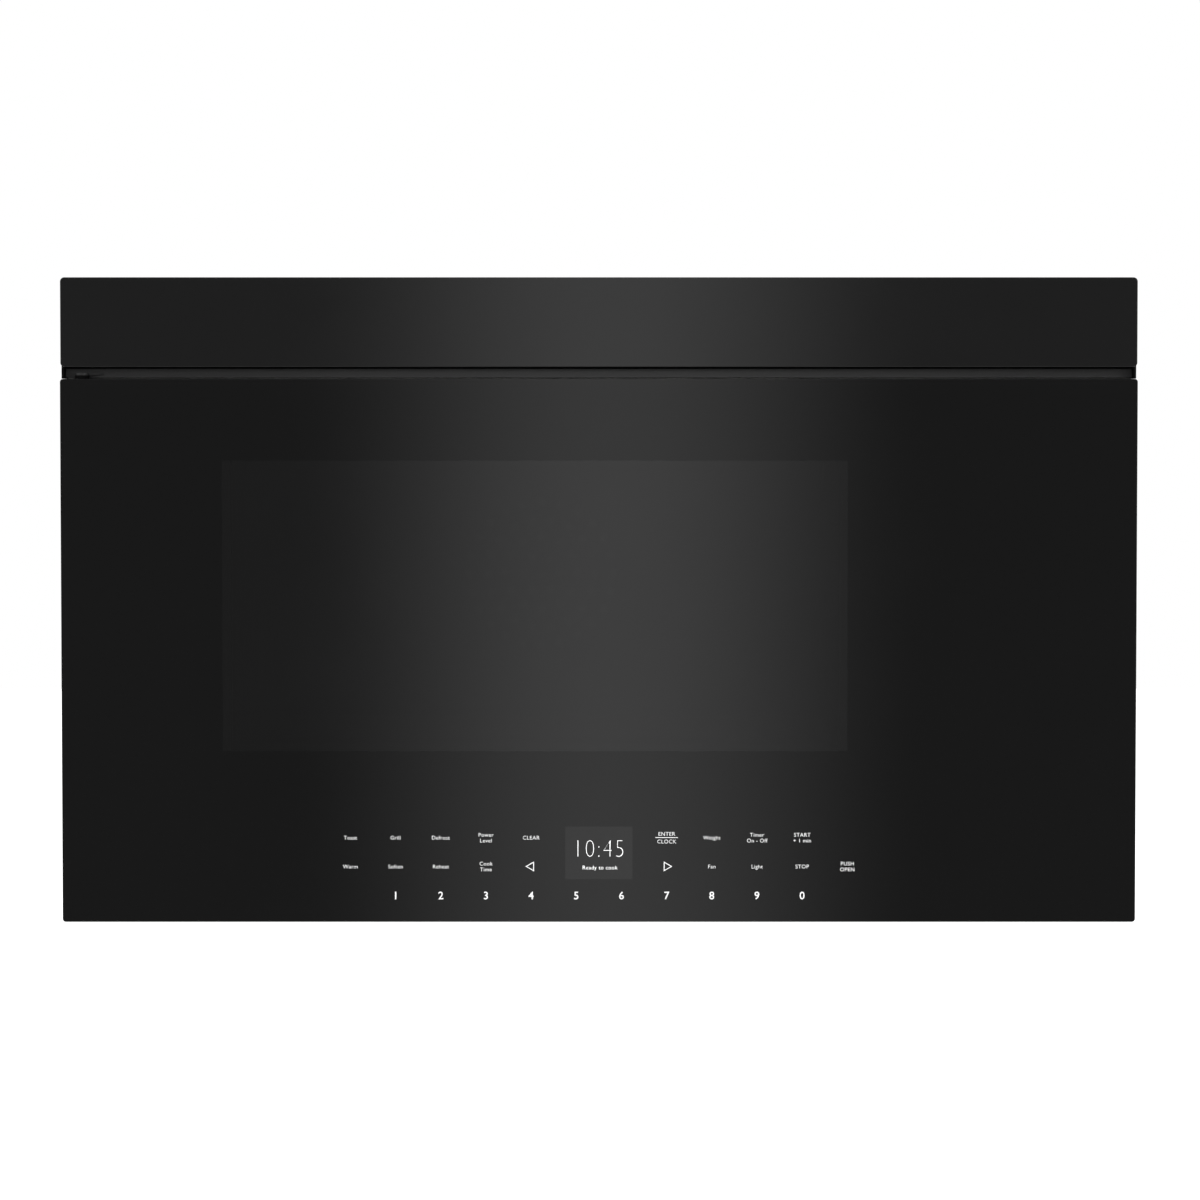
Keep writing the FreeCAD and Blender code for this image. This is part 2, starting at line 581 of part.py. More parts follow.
def wheel(way):
    """A cage of curved blades between a back plate on the motor's side and an outer ring."""
    centre = blower_middle(way)
    inner = f"{centre} - {way} * (blower_wheel_length / 2)"
    plate_x = inner if way > 0 else f"{inner} - blower_wall"
    rim_x = f"{centre} + {way} * (blower_wheel_length / 2)"
    rim_x = f"{rim_x} - 3 * blower_wall" if way > 0 else rim_x
    rim = cut(rod("x", rim_x, blower_y, "blower_level", "blower_radius", "3 * blower_wall"),
              rod("x", f"{rim_x} - 1", blower_y, "blower_level", "blower_radius * 0.78",
                  "3 * blower_wall + 2"))
    items = [rim, rod("x", plate_x, blower_y, "blower_level", "blower_radius", "blower_wall"),
             rod("x", f"{plate_x} - 5 * blower_wall" if way < 0 else plate_x, blower_y,
                 "blower_level", "shaft_radius + 4", "6 * blower_wall")]
    low = f"{centre} - blower_wheel_length / 2"
    for k in range(round(mm("blower_blades"))):
        angle = 360 * k / mm("blower_blades")
        blade = doc.addObject("Part::Box", "Blade")
        blade.setExpression("Length", bound("blower_wheel_length"))
        blade.setExpression("Width", bound("blower_wall * 0.6"))
        blade.setExpression("Height", bound("blower_radius * 0.2"))
        blade.Placement = FreeCAD.Placement(FreeCAD.Vector(),
                                            FreeCAD.Rotation(FreeCAD.Vector(1, 0, 0), angle))
        place(blade, low, f"{blower_y} - blower_radius * 0.79 * sin({angle})",
              f"blower_level + blower_radius * 0.79 * cos({angle})")
        items.append(blade)
    bore = rod("x", f"{low} - 1", blower_y, "blower_level", "shaft_radius",
               "blower_wheel_length + 2")
    return cut(fused(*items), bore)


motor_half = "(blower_motor_length / 2)"
scrolls = []
for way in (-1, 1):
    x0 = f"{blower_middle(way)} - blower_box_length / 2"
    x1 = f"{blower_middle(way)} + blower_box_length / 2"
    foot = f"({blower_top} - blower_box_height)"
    bore = "(blower_radius + blower_clearance)"
    hollow = fused(rod("x", f"{x0} + blower_wall", blower_y, "blower_level", bore,
                       "blower_box_length - 2 * blower_wall"),
                   box(f"{x0} + blower_wall", f"{x1} - blower_wall", blower_y,
                       f"{blower_y} + {bore}", "blower_level", f"{blower_top} + 1"))
    inlet = rod("x", f"{x0} - 1", blower_y, "blower_level", "blower_radius * 0.8",
                "blower_box_length + 2")
    scrolls.append(cut(box(x0, x1, f"{blower_y} - blower_box / 2",
                           f"{blower_y} + blower_box / 2", foot, blower_top), hollow, inlet))
node("blower_housings", group(*scrolls))
blower_shaft = rod("x", "-blower_spread / 2 - blower_wheel_length / 2", blower_y, "blower_level",
                   "shaft_radius", "blower_spread + blower_wheel_length")
node("blower_rotor", group(wheel(-1), wheel(1), blower_shaft))
strap = box(f"-{motor_half} + 6", f"{motor_half} - 6", f"{blower_y} - 10", f"{blower_y} + 10",
            "cavity_roof + cavity_wall", "blower_level - blower_motor_radius + 1")
node("blower_motor",
     cut(fused(rod("x", f"-{motor_half}", blower_y, "blower_level", "blower_motor_radius",
                   "blower_motor_length"), strap),
         rod("x", f"-{motor_half} - 1", blower_y, "blower_level", "shaft_radius + shaft_fit",
             "blower_motor_length + 2")))

# Exhaust damper: a frame under the top's opening and a flap that lifts with the air
damper_foot = blower_top
damper_top = "(cabinet_height - sheet_wall)"
hinge_line = f"({exhaust_y} + exhaust_depth / 2 - damper_pin - flap_clearance)"
damper_pin_z = f"({damper_foot} + damper_height / 2)"
pin_ways = [rod("x", f"{way} * exhaust_width / 2 - damper_rim", hinge_line, damper_pin_z,
                "damper_pin + shaft_fit", "2 * damper_rim") for way in (-1, 1)]
node("damper_frame",
     cut(exhaust_way(damper_foot, damper_top, "damper_rim"),
         exhaust_way(f"{damper_foot} - 1", f"{damper_top} + 1"), *pin_ways))
flap = box("-exhaust_width / 2 + flap_clearance", "exhaust_width / 2 - flap_clearance",
           f"{exhaust_y} - exhaust_depth / 2 + flap_clearance", hinge_line,
           f"{damper_pin_z} - flap_wall / 2", f"{damper_pin_z} + flap_wall / 2")
node("damper_flap",
     fused(flap, rod("x", "-exhaust_width / 2 - damper_rim / 2", hinge_line, damper_pin_z,
                     "damper_pin", "exhaust_width + damper_rim")))

# Cooling fan for the magnetron
cooler_y = "(-cooler_y)"
cooler_z = "(cooler_level + cooler_box / 2)"
cooler_front = f"({cooler_y} - cooler_depth / 2)"
spokes = [box("cooler_x - cooler_box / 2 + 2", "cooler_x + cooler_box / 2 - 2",
              f"{cooler_front} + cooler_depth - 3", f"{cooler_front} + cooler_depth",
              f"{cooler_z} - 3", f"{cooler_z} + 3"),
          box("cooler_x - 3", "cooler_x + 3", f"{cooler_front} + cooler_depth - 3",
              f"{cooler_front} + cooler_depth", f"{cooler_z} - cooler_box / 2 + 2",
              f"{cooler_z} + cooler_box / 2 - 2")]
ring = cut(box("cooler_x - cooler_box / 2", "cooler_x + cooler_box / 2", cooler_front,
               f"{cooler_front} + cooler_depth", f"{cooler_z} - cooler_box / 2",
               f"{cooler_z} + cooler_box / 2"),
           rod("y", "cooler_x", f"{cooler_front} - 1", cooler_z, "cooler_radius + 1.5",
               "cooler_depth + 2"))
stand = box("cooler_x - cooler_box / 2", "cooler_x + cooler_box / 2", cooler_front,
            f"{cooler_front} + 3", "sheet_wall", f"{cooler_z} - cooler_box / 2 + 1")
node("cooling_fan_frame",
     cut(fused(ring, stand, *spokes),
         rod("y", "cooler_x", f"{cooler_front} + cooler_depth - 4", cooler_z,
             "shaft_radius / 2 + shaft_fit", "5")))
blades = [rod("y", "cooler_x", f"{cooler_front} + 2", cooler_z, "cooler_motor_radius",
              "cooler_depth - 7"),
          rod("y", "cooler_x", f"{cooler_front} + cooler_depth - 6", cooler_z,
              "shaft_radius / 2", "6")]
for k in range(round(mm("cooler_blades"))):
    angle = 360 * (k + 0.3) / mm("cooler_blades")
    blade = doc.addObject("Part::Box", "Blade")
    blade.setExpression("Length", bound("cooler_radius - cooler_motor_radius + 2"))
    blade.setExpression("Width", bound("cooler_depth * 0.6"))
    blade.setExpression("Height", bound("1.5 * sheet_wall"))
    tilt = FreeCAD.Rotation(FreeCAD.Vector(1, 0, 0), 35)
    blade.Placement = FreeCAD.Placement(
        FreeCAD.Vector(), FreeCAD.Rotation(FreeCAD.Vector(0, 1, 0), -angle) * tilt)
    place(blade, f"cooler_x + (cooler_motor_radius - 2) * cos({angle})", f"{cooler_front} + 4",
          f"{cooler_z} + (cooler_motor_radius - 2) * sin({angle})")
    blades.append(blade)
node("cooling_fan_blades", fused(*blades))

# Inverter supply on a tray beside the cavity, over the magnetron
tray_foot = f"({yoke_top} + 8)"
tray_x = f"({cavity_right} + cavity_wall)"
inverter_y = antenna_y
node("inverter_tray",
     fused(box(tray_x, f"{tray_x} + inverter_width + 4", f"{inverter_y} - inverter_depth / 2",
               f"{inverter_y} + inverter_depth / 2", tray_foot, f"{tray_foot} + 2"),
           box(tray_x, f"{tray_x} + 2", f"{inverter_y} - inverter_depth / 2",
               f"{inverter_y} + inverter_depth / 2", tray_foot, f"{tray_foot} + 20")))
board_foot = f"({tray_foot} + 8)"
posts = [rod("z", f"{tray_x} + 12 + {i} * (inverter_width - 20)",
             f"{inverter_y} + {j} * (inverter_depth / 2 - 8)", f"{tray_foot} + 2", "3", "6")
         for i in (0, 1) for j in (-1, 1)]
node("inverter_board",
     fused(box(f"{tray_x} + 4", f"{tray_x} + inverter_width", f"{inverter_y} - inverter_depth / 2 + 2",
               f"{inverter_y} + inverter_depth / 2 - 2", board_foot, f"{board_foot} + board_wall"),
           *posts))
node("inverter_transformer",
     fused(box(f"{tray_x} + 76", f"{tray_x} + 130", f"{inverter_y} - 44", f"{inverter_y} + 4",
               f"{board_foot} + board_wall", f"{board_foot} + board_wall + 40"),
           rod("y", f"{tray_x} + 103", f"{inverter_y} + 4", f"{board_foot} + board_wall + 21",
               "19", "14")))
sink_fins = [box(f"{tray_x} + 14 + {k} * 6", f"{tray_x} + 15.6 + {k} * 6", f"{inverter_y} - 42",
                 f"{inverter_y} + 36", f"{board_foot} + board_wall + 3",
                 f"{board_foot} + board_wall + 34") for k in range(9)]
node("inverter_heat_sink",
     fused(box(f"{tray_x} + 14", f"{tray_x} + 63.6", f"{inverter_y} - 42", f"{inverter_y} + 36",
               f"{board_foot} + board_wall", f"{board_foot} + board_wall + 4"), *sink_fins))

# Control board on the right side wall, mains filter board under the top, cord bushing in the top
board_x = f"({side} - sheet_wall - 8)"
control_y = f"({face} + 190)"
node("main_control_board",
     fused(box(f"{board_x} - board_wall", board_x, f"{control_y} - main_board_width / 2",
               f"{control_y} + main_board_width / 2", "convection_level - main_board_height / 2",
               "convection_level + main_board_height / 2"),
           *[rod("x", board_x, f"{control_y} + {i} * (main_board_width / 2 - 8)",
                 f"convection_level + {j} * (main_board_height / 2 - 8)", "3", "8")
             for i in (-1, 1) for j in (-1, 1)],
           box(f"{board_x} - board_wall - 22", f"{board_x} - board_wall", f"{control_y} - 60",
               f"{control_y} - 20", "convection_level - 50", "convection_level - 22"),
           box(f"{board_x} - board_wall - 12", f"{board_x} - board_wall", f"{control_y}",
               f"{control_y} + 60", "convection_level + 10", "convection_level + 22")))
filter_z = "(cabinet_height - sheet_wall - 20)"
node("mains_filter_board",
     fused(box("gland_x - filter_board_width / 2", "gland_x + filter_board_width / 2",
               "-gland_y - gland_radius - 6 - filter_board_depth", "-gland_y - gland_radius - 6",
               filter_z, f"{filter_z} + board_wall"),
           *[rod("z", f"gland_x + {i} * (filter_board_width / 2 - 6)",
                 f"-gland_y - gland_radius - 6 - filter_board_depth / 2 + {j} * (filter_board_depth / 2 - 6)",
                 f"{filter_z} + board_wall", "3", "20 - board_wall")
             for i in (-1, 1) for j in (-1, 1)],
           rod("z", "gland_x", "-gland_y - gland_radius - 6 - filter_board_depth / 2",
               f"{filter_z} - 22", "15", "22")))
node("power_cord_gland",
     cut(fused(rod("z", "gland_x", "-gland_y", "cabinet_height - sheet_wall - 10", "gland_radius",
                   "10 + sheet_wall"),
               rod("z", "gland_x", "-gland_y", "cabinet_height - sheet_wall - 4",
                   "gland_radius + 3", "4")),
         rod("z", "gland_x", "-gland_y", "cabinet_height - sheet_wall - 11", "gland_radius / 2",
             "20")))

# Cut-outs that stop the oven when the cavity runs hot, heat wool, and the oven's lamp
node("thermal_cutouts",
     group(*[fused(rod("x", f"{cavity_right} + cavity_wall", f"{cavity_rear} - {back_off}",
                       "cavity_roof - 90", "cutout_radius", "cutout_height"),
                   rod("x", f"{cavity_right} + cavity_wall", f"{cavity_rear} - {back_off}",
                       "cavity_roof - 90", "cutout_radius / 3", "2 * cutout_height"))
             for back_off in ("cutout_setback", "(cutout_setback + cutout_pitch)")]))
wool_top = box(cavity_left, cavity_right, f"{cavity_mouth} + 8",
               f"{blower_y} - blower_box / 2 - 2",
               "cavity_roof + cavity_wall", "cavity_roof + cavity_wall + wool_wall")
wool_side = box(f"{cavity_left} - cavity_wall - wool_wall", f"{cavity_left} - cavity_wall",
                f"{cavity_mouth} + 8", f"{cavity_rear} - 10", "cavity_floor + 6", "cavity_roof - 2")
node("cavity_insulation", group(wool_top, wool_side))
lamp_y_in = f"({cavity_rear} - 60)"
lamp_z_in = "(cavity_roof - 40)"
node("cavity_lamp",
     group(rod("x", f"{cavity_right}", lamp_y_in, lamp_z_in, "lamp_radius / 2", "cavity_wall"),
           fused(rod("x", f"{cavity_right} + cavity_wall", lamp_y_in, lamp_z_in, "lamp_radius / 2 + 3",
               "3 * lens_wall"),
                 rod("x", f"{cavity_right} + cavity_wall + 3 * lens_wall", lamp_y_in, lamp_z_in,
                     "lamp_radius / 2 - 4", "5 * lens_wall"))))

# Top of the front: the vent panel, the air strip in the gap under it, and the charcoal filter
panel_front = f"({door_front} + panel_setback)"
panel_back = f"({door_back})"
panel = box("-overall_width / 2", "overall_width / 2", panel_front, panel_back, panel_foot,
            "cabinet_height")
hollow = box("-overall_width / 2 + panel_wall", "overall_width / 2 - panel_wall",
             f"{panel_front} + panel_wall", f"{panel_back} + 1", f"{panel_foot} + panel_wall",
             "cabinet_height - panel_wall")
clips = [box(f"{x} * overall_width / 2 - 4", f"{x} * overall_width / 2 + 4", panel_back, face,
             "cabinet_height - 16", "cabinet_height - 8") for x in (-0.8, -0.45, 0.45, 0.8)]
clip_roots = [box(f"{x} * overall_width / 2 - 4", f"{x} * overall_width / 2 + 4",
                  f"{panel_front} + 1", panel_back, "cabinet_height - 16", "cabinet_height - 8")
              for x in (-0.8, -0.45, 0.45, 0.8)]
node("vent_panel", fused(cut(rounded("y", "panel_corner", panel), hollow), *clips, *clip_roots))
node("charcoal_filter",
     box("-charcoal_width / 2", "charcoal_width / 2", f"{face} - charcoal_depth", face,
         charcoal_foot, f"{charcoal_foot} + charcoal_height"))
node("air_strip",
     cut(box(f"-{side} + strip_clearance", f"{side} - strip_clearance",
             f"{door_front} + strip_setback", face, f"{door_top} + 1", f"{panel_foot} - seat_gap"),
         box(f"{pin_x} - knuckle_radius - 1", f"{pin_x} + bracket_width + 1", door_front,
             f"{face} + 1", f"{upper_arm} - strip_clearance", f"{panel_foot} + 1")))


def pane(label, x0, x1, y0, y1, z0, z1, corner):
    """An upright sheet drawn as an outline on its rear face and padded towards the front."""
    body = doc.addObject("PartDesign::Body", label)
    outline = body.newObject("Sketcher::SketchObject", "Outline")
    front = [f for f in body.Origin.OriginFeatures if f.Role == "XZ_Plane"][0]
    outline.AttachmentSupport = (front, [""])
    outline.MapMode = "FlatFace"
    outline.setExpression("AttachmentOffset.Base.z", bound(f"-({y1})"))
    corners = [(x0, z0), (x1, z0), (x1, z1), (x0, z1)]
    points = [FreeCAD.Vector(mm(x), mm(z), 0) for x, z in corners]
    for k in range(4):
        outline.addGeometry(Part.LineSegment(points[k], points[(k + 1) % 4]))
    for k in range(4):
        outline.addConstraint(Sketcher.Constraint("Coincident", k, 2, (k + 1) % 4, 1))
    for k, (x, z) in enumerate(corners):
        for way, text, size in (("DistanceX", x, points[k].x), ("DistanceY", z, points[k].y)):
            at = outline.addConstraint(Sketcher.Constraint(way, -1, 1, k, 1, size))
            outline.setExpression(f"Constraints[{at}]", bound(text))
    pad = body.newObject("PartDesign::Pad", "Sheet")
    pad.Profile = outline
    pad.setExpression("Length", bound(f"({y1}) - ({y0})"))
    doc.recompute()
    edges = [f"Edge{n}" for n, edge in enumerate(pad.Shape.Edges, start=1)
             if abs((edge.Vertexes[-1].Point - edge.Vertexes[0].Point).y) > 1e-6]
    soft = body.newObject("PartDesign::Fillet", "Corners")
    soft.Base = (pad, edges)
    soft.setExpression("Radius", bound(corner))
    body.Tip = soft
    return node(label, body)


# Door: one full-width sheet of dark glass over a moulded frame
frame_front = f"({door_front} + glass_wall)"
frame_foot = f"({door_foot} + frame_floor)"
frame_top = f"({door_top} - seat_gap)"
frame_end = "(overall_width / 2 - frame_inset)"
pane("door_glass", "-overall_width / 2", "overall_width / 2", door_front, frame_front, door_foot,
     door_top, "door_corner")

choke_left = f"({cavity_left} - choke_border)"
choke_right = f"({cavity_right} + choke_border)"
choke_foot = "(cavity_floor - choke_rise)"
choke_top = "(cavity_roof + choke_rise)"
choke_back = f"({door_back} - cover_wall)"
choke_front = f"({choke_back} - choke_depth)"


def choke_block(margin, y0, y1):
    return box(f"{choke_left} + ({margin})", f"{choke_right} - ({margin})", y0, y1,
               f"{choke_foot} + ({margin})", f"{choke_top} - ({margin})")


def common(first, second):
    item = doc.addObject("Part::MultiCommon", "Shared")
    item.Shapes = [first, second]
    return item


bar_back = f"({door_back} - latch_bar_setback)"
bar_front = f"({bar_back} - latch_bar_depth)"
bar_foot = "(hook_low - 4)"
bar_top = "(hook_high + claw_height + 4)"
notch_top = f"({door_foot} + notch_height)"
frame_cuts = [
    choke_block("0", f"{frame_front} - 1", f"{door_back} + 1"),
    box("-touch_width / 2 - 2", "touch_width / 2 + 2", f"{frame_front} - 1",
        f"{frame_front} + pocket_depth", "touch_sill - 2", "touch_sill + touch_height + 2"),
    box("latch_x - latch_bar_width / 2 - latch_fit", "latch_x + latch_bar_width / 2 + latch_fit",
        f"{frame_front} - 1", f"{bar_back} + latch_fit", f"{bar_foot} - latch_travel - latch_fit",
        f"{bar_top} + latch_fit"),
    box("-overall_width / 2", f"{pin_x} + bracket_width + 3", f"{frame_front} - 1",
        f"{door_back} + 1", f"{frame_foot} - 1", notch_top),
    rod("z", pin_x, pin_y, f"{notch_top} - 1", "hinge_pin_radius + hinge_fit",
        "hinge_pin_depth + seat_gap + 1"),
    rod("z", pin_x, pin_y, f"{frame_top} - hinge_pin_depth - seat_gap",
        "hinge_pin_radius + hinge_fit", "hinge_pin_depth + seat_gap + 1"),
]
for level in claw_levels():
    frame_cuts.append(box("latch_x - claw_wall / 2 - latch_fit", "latch_x + claw_wall / 2 + latch_fit",
                          bar_back, f"{door_back} + 1", f"{level} - latch_travel - latch_fit",
                          f"{level} + claw_height + latch_fit"))
hinge_end = common(rod("z", pin_x, pin_y, frame_foot, f"{door_back} - {pin_y}",
                       f"{frame_top} - {frame_foot}"),
                   box("-overall_width / 2 + frame_inset", f"{pin_x} + 1", frame_front, door_back,
                       frame_foot, frame_top))
node("door_frame",
     cut(fused(box(pin_x, frame_end, frame_front, door_back, frame_foot, frame_top), hinge_end),
         *frame_cuts))

# Choke: a pressed tray whose channel runs round the oven's mouth, its window plate set back
screen_front = f"({choke_back} - choke_wall)"
channel = cut(choke_block("choke_wall", f"{choke_front} + choke_wall", f"{choke_back} + 1"),
              mouth(choke_front, f"{choke_back} + 2"))
node("choke_panel",
     cut(choke_block("0", choke_front, choke_back), channel,
         mouth(f"{choke_front} - 1", screen_front, "-choke_wall")))
node("choke_cover",
     cut(choke_block("0", choke_back, door_back),
         mouth(f"{choke_back} - 1", f"{door_back} + 1", "-cover_lip")))
pane("inner_window", f"{cavity_left} + 2 * choke_wall", f"{cavity_right} - 2 * choke_wall",
     f"{screen_front} - inner_glass_wall", screen_front, "cavity_floor + 2 * choke_wall",
     "cavity_roof - 2 * choke_wall", "door_corner")

# Keys and clock: a touch board on the back of the glass with the display in its cut-out
display_z = ("display_sill", "display_sill + display_height")
node("touch_key_board",
     cut(box("-touch_width / 2", "touch_width / 2", frame_front, f"{frame_front} + board_wall",
             "touch_sill", "touch_sill + touch_height"),
         box("-display_width / 2 - seat_gap", "display_width / 2 + seat_gap", f"{frame_front} - 1",
             f"{frame_front} + board_wall + 1", f"{display_z[0]} - seat_gap",
             f"{display_z[1]} + seat_gap")))
node("display_module",
     box("-display_width / 2", "display_width / 2", frame_front, f"{frame_front} + display_depth",
         *display_z))

# Hinges: a steel bracket above and below the door, each with a riveted pin and a collar
brackets = []
screws = []
lower_collar = f"({lower_arm} + bracket_wall)"


def screw_cone(x, z, extra):
    """A countersunk head let into a bracket's leg."""
    item = doc.addObject("Part::Cone", "Head")
    item.Placement = FreeCAD.Placement(FreeCAD.Vector(), TURNS["y"])
    item.setExpression("Radius1", bound(f"screw_head + {extra}"))
    item.setExpression("Radius2", bound(f"screw_radius + {extra}"))
    item.setExpression("Height", bound("bracket_wall"))
    return place(item, x, f"{face} - bracket_wall", z)


for arm, pin_foot, pin_length, collar, collar_height in (
        (lower_arm, lower_arm, f"{notch_top} + hinge_pin_depth - {lower_arm}", lower_collar,
         f"{notch_top} - seat_gap - {lower_collar}"),
        (upper_arm, f"{frame_top} - hinge_pin_depth",
         f"{upper_arm} + bracket_wall - {frame_top} + hinge_pin_depth", knuckle_foot,
         "knuckle_height")):
    steel = fused(box(pin_x, f"{pin_x} + bracket_width", pin_y, face, arm, f"{arm} + bracket_wall"),
                  rod("z", pin_x, pin_y, arm, "knuckle_radius", "bracket_wall"),
                  rod("z", pin_x, pin_y, collar, "knuckle_radius", collar_height),
                  box(f"{pin_x} + 1", f"{pin_x} + bracket_width", f"{face} - bracket_wall", face,
                      arm, f"{arm} + bracket_leg"))
    holes = [rod("z", pin_x, pin_y, f"{arm} - 20", "hinge_pin_radius", "60")]
    holes += [screw_cone(screw_x, z, "hinge_fit") for z in screw_levels]
    brackets.append(cut(steel, *holes))
    brackets.append(rod("z", pin_x, pin_y, pin_foot, "hinge_pin_radius", pin_length))
node("hinge_brackets", group(*brackets))
node("hinge_screws",
     group(*[fused(screw_cone(screw_x, z, "0"),
                   rod("y", screw_x, f"{face} - bracket_wall / 2", z, "screw_radius",
                       "screw_length")) for z in screw_levels]))

# Latch: an upright bar in the door with two claws that reach through the face plate
claws = []
nose_back = f"({bar_back} + claw_reach)"
nose_front = f"({nose_back} - nose_length)"
for level in claw_levels():
    ends = ("latch_x - claw_wall / 2", "latch_x + claw_wall / 2")
    claws.append(box(*ends, f"{bar_back} - 1", nose_back, level, f"{level} + claw_height"))
    claws.append(box(*ends, nose_front, nose_back, f"{level} - claw_nose", level))
node("latch_bar",
     fused(box("latch_x - latch_bar_width / 2", "latch_x + latch_bar_width / 2", bar_front,
               bar_back, bar_foot, bar_top), *claws))

# Latch body in the cabinet: a side plate, a catch and a switch shelf for each claw, a pivot
body_left = "(latch_x - 13)"
nose_middle = f"(({nose_front} + {nose_back}) / 2)"
pivot_y = f"({cavity_mouth} + 2 + lever_reach)"
pivot_z = "(hook_low - 22)"
latch_parts = [box(body_left, f"{body_left} + latch_wall", cavity_mouth,
                   f"{cavity_mouth} + latch_body_depth", "hook_low - 42",
                   "hook_high + claw_height + 20"),
               rod("x", body_left, pivot_y, pivot_z, "lever_pivot", "13 + 2.5 * lever_wall")]
switches = []
buttons = []
for level in claw_levels():
    catch_top = f"({level} - latch_travel - catch_gap)"
    latch_parts.append(box(body_left, "latch_x + 4", cavity_mouth, f"{nose_front} - catch_slack",
                           f"{catch_top} - 12", catch_top))
    button_top = f"({level} - claw_nose - latch_travel + button_travel - 0.1)"
    switch_top = f"({button_top} - button_rise)"
    switch_foot = f"({switch_top} - switch_height)"
    latch_parts.append(box(body_left, "latch_x + switch_depth / 2", f"{nose_middle} - 3",
                           f"{nose_middle} - 3 + switch_width", f"{switch_foot} - latch_wall",
                           switch_foot))
    switches.append(cut(box("latch_x - switch_depth / 2", "latch_x + switch_depth / 2",
                            f"{nose_middle} - 3", f"{nose_middle} - 3 + switch_width", switch_foot,
                            switch_top),
                        rod("z", "latch_x", nose_middle, f"{switch_top} - button_seat",
                            "button_radius + button_fit", "button_seat + 1")))
    buttons.append(rod("z", "latch_x", nose_middle,
                       f"{switch_top} - button_seat + button_travel + seat_gap", "button_radius",
                       "button_rise + button_seat - button_travel - seat_gap"))
pad_way = box("latch_x - claw_wall / 2 - 1", "latch_x + 5", f"{cavity_mouth} - 1",
              f"{nose_front} - catch_slack - 4", "hook_low - latch_travel - catch_gap - 13",
              "hook_low")
node("latch_body", cut(fused(*latch_parts), pad_way))
node("door_switches", group(*switches))
node("door_switch_buttons", group(*buttons))

# Release: a solenoid pulls the tail of a lever, whose pad lifts the lower claw off its catch
arm_x = ("latch_x + 5.5", "latch_x + 5.5 + lever_wall")
pad_front = f"({pivot_y} - lever_reach)"
link_x = "(latch_x + 7)"
link_y = f"({pivot_y} + lever_link)"
lever = fused(box(*arm_x, pad_front, pivot_y, f"{pivot_z} - lever_wall", f"{pivot_z} + lever_wall"),
              box("latch_x - claw_wall / 2", arm_x[1], pad_front, f"{pad_front} + pad_length",
                  f"{pivot_z} - lever_wall", "hook_low - latch_travel - 0.7"),
              rod("x", arm_x[0], pivot_y, pivot_z, "lever_pivot + lever_wall", "lever_wall"),
              box(*arm_x, pivot_y, f"{pivot_y} + 8", f"{pivot_z} - 3", f"{pivot_z} + 3"),
              box(f"{link_x} - 6", f"{link_x} + 6", f"{pivot_y} + 7", f"{pivot_y} + lever_tail",
                  f"{pivot_z} - 3", f"{pivot_z} + 3"))
node("release_lever",
     cut(lever, rod("x", "latch_x", pivot_y, pivot_z, "lever_pivot + hinge_fit", "20"),
         box(f"{link_x} - stem_radius - 1", f"{link_x} + stem_radius + 1", f"{link_y} - 3.5",
             f"{link_y} + 3.5", f"{pivot_z} - 4", f"{pivot_z} + 4")))
solenoid_top = "(sheet_wall + solenoid_height)"
node("release_solenoid",
     cut(box(f"{link_x} - solenoid_size / 2", f"{link_x} + solenoid_size / 2",
             f"{link_y} - solenoid_size / 2", f"{link_y} + solenoid_size / 2", "sheet_wall",
             solenoid_top),
         rod("z", link_x, link_y, f"{solenoid_top} - 24 - plunger_travel - seat_gap",
             "plunger_radius + plunger_fit", "40")))
node("solenoid_plunger",
     fused(rod("z", link_x, link_y, f"{solenoid_top} - 24", "plunger_radius", "26"),
           rod("z", link_x, link_y, solenoid_top, "stem_radius",
               f"{pivot_z} + 3 + seat_gap + 1 - {solenoid_top}"),
           rod("z", link_x, link_y, f"{pivot_z} + 3 + seat_gap", "stem_head", "2")))

# Build, look for anything that failed, then write one file a piece
doc.recompute()
faults = [item.Label for item in doc.Objects if {"Invalid", "Error"} & set(item.State)]
faults += [item.Label for item in NODES if item.Shape.isNull() or not item.Shape.isValid()]
if faults:
    raise SystemExit(f"these did not build: {faults}")
os.makedirs("parts", exist_ok=True)
for item in NODES:
    item.Shape.exportStep(f"parts/{item.Label}.step")
    print(item.Label, len(item.Shape.Solids), round(item.Shape.Volume))
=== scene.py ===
import math

import bmesh
import bpy
from mathutils import Matrix, Vector


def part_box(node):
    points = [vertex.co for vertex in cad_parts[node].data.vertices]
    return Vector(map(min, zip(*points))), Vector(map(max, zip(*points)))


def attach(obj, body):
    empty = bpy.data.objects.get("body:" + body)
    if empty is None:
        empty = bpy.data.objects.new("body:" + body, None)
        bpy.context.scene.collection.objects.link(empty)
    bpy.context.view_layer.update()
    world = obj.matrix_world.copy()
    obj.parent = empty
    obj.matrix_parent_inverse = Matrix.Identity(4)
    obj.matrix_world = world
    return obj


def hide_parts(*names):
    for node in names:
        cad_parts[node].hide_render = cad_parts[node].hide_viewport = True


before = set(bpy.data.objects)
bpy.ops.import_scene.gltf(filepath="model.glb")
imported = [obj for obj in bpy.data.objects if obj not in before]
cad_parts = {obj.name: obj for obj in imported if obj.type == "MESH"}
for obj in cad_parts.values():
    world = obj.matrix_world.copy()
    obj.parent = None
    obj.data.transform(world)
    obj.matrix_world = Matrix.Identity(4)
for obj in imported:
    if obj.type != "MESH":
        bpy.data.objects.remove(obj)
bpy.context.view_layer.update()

# Studio: the camera stands 3 m in front of the door and looks down on it by 2.4 degrees.
# A tall softbox behind the camera shows in the dark glass as a broad soft stripe, and the floor
# and the surroundings are white to the eye.
MM = 0.001
VIEW_DISTANCE = 3.0
FRAME_WIDTH = 0.8478
PITCH = math.radians(2.43)
DOOR_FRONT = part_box("door_glass")[0][1]
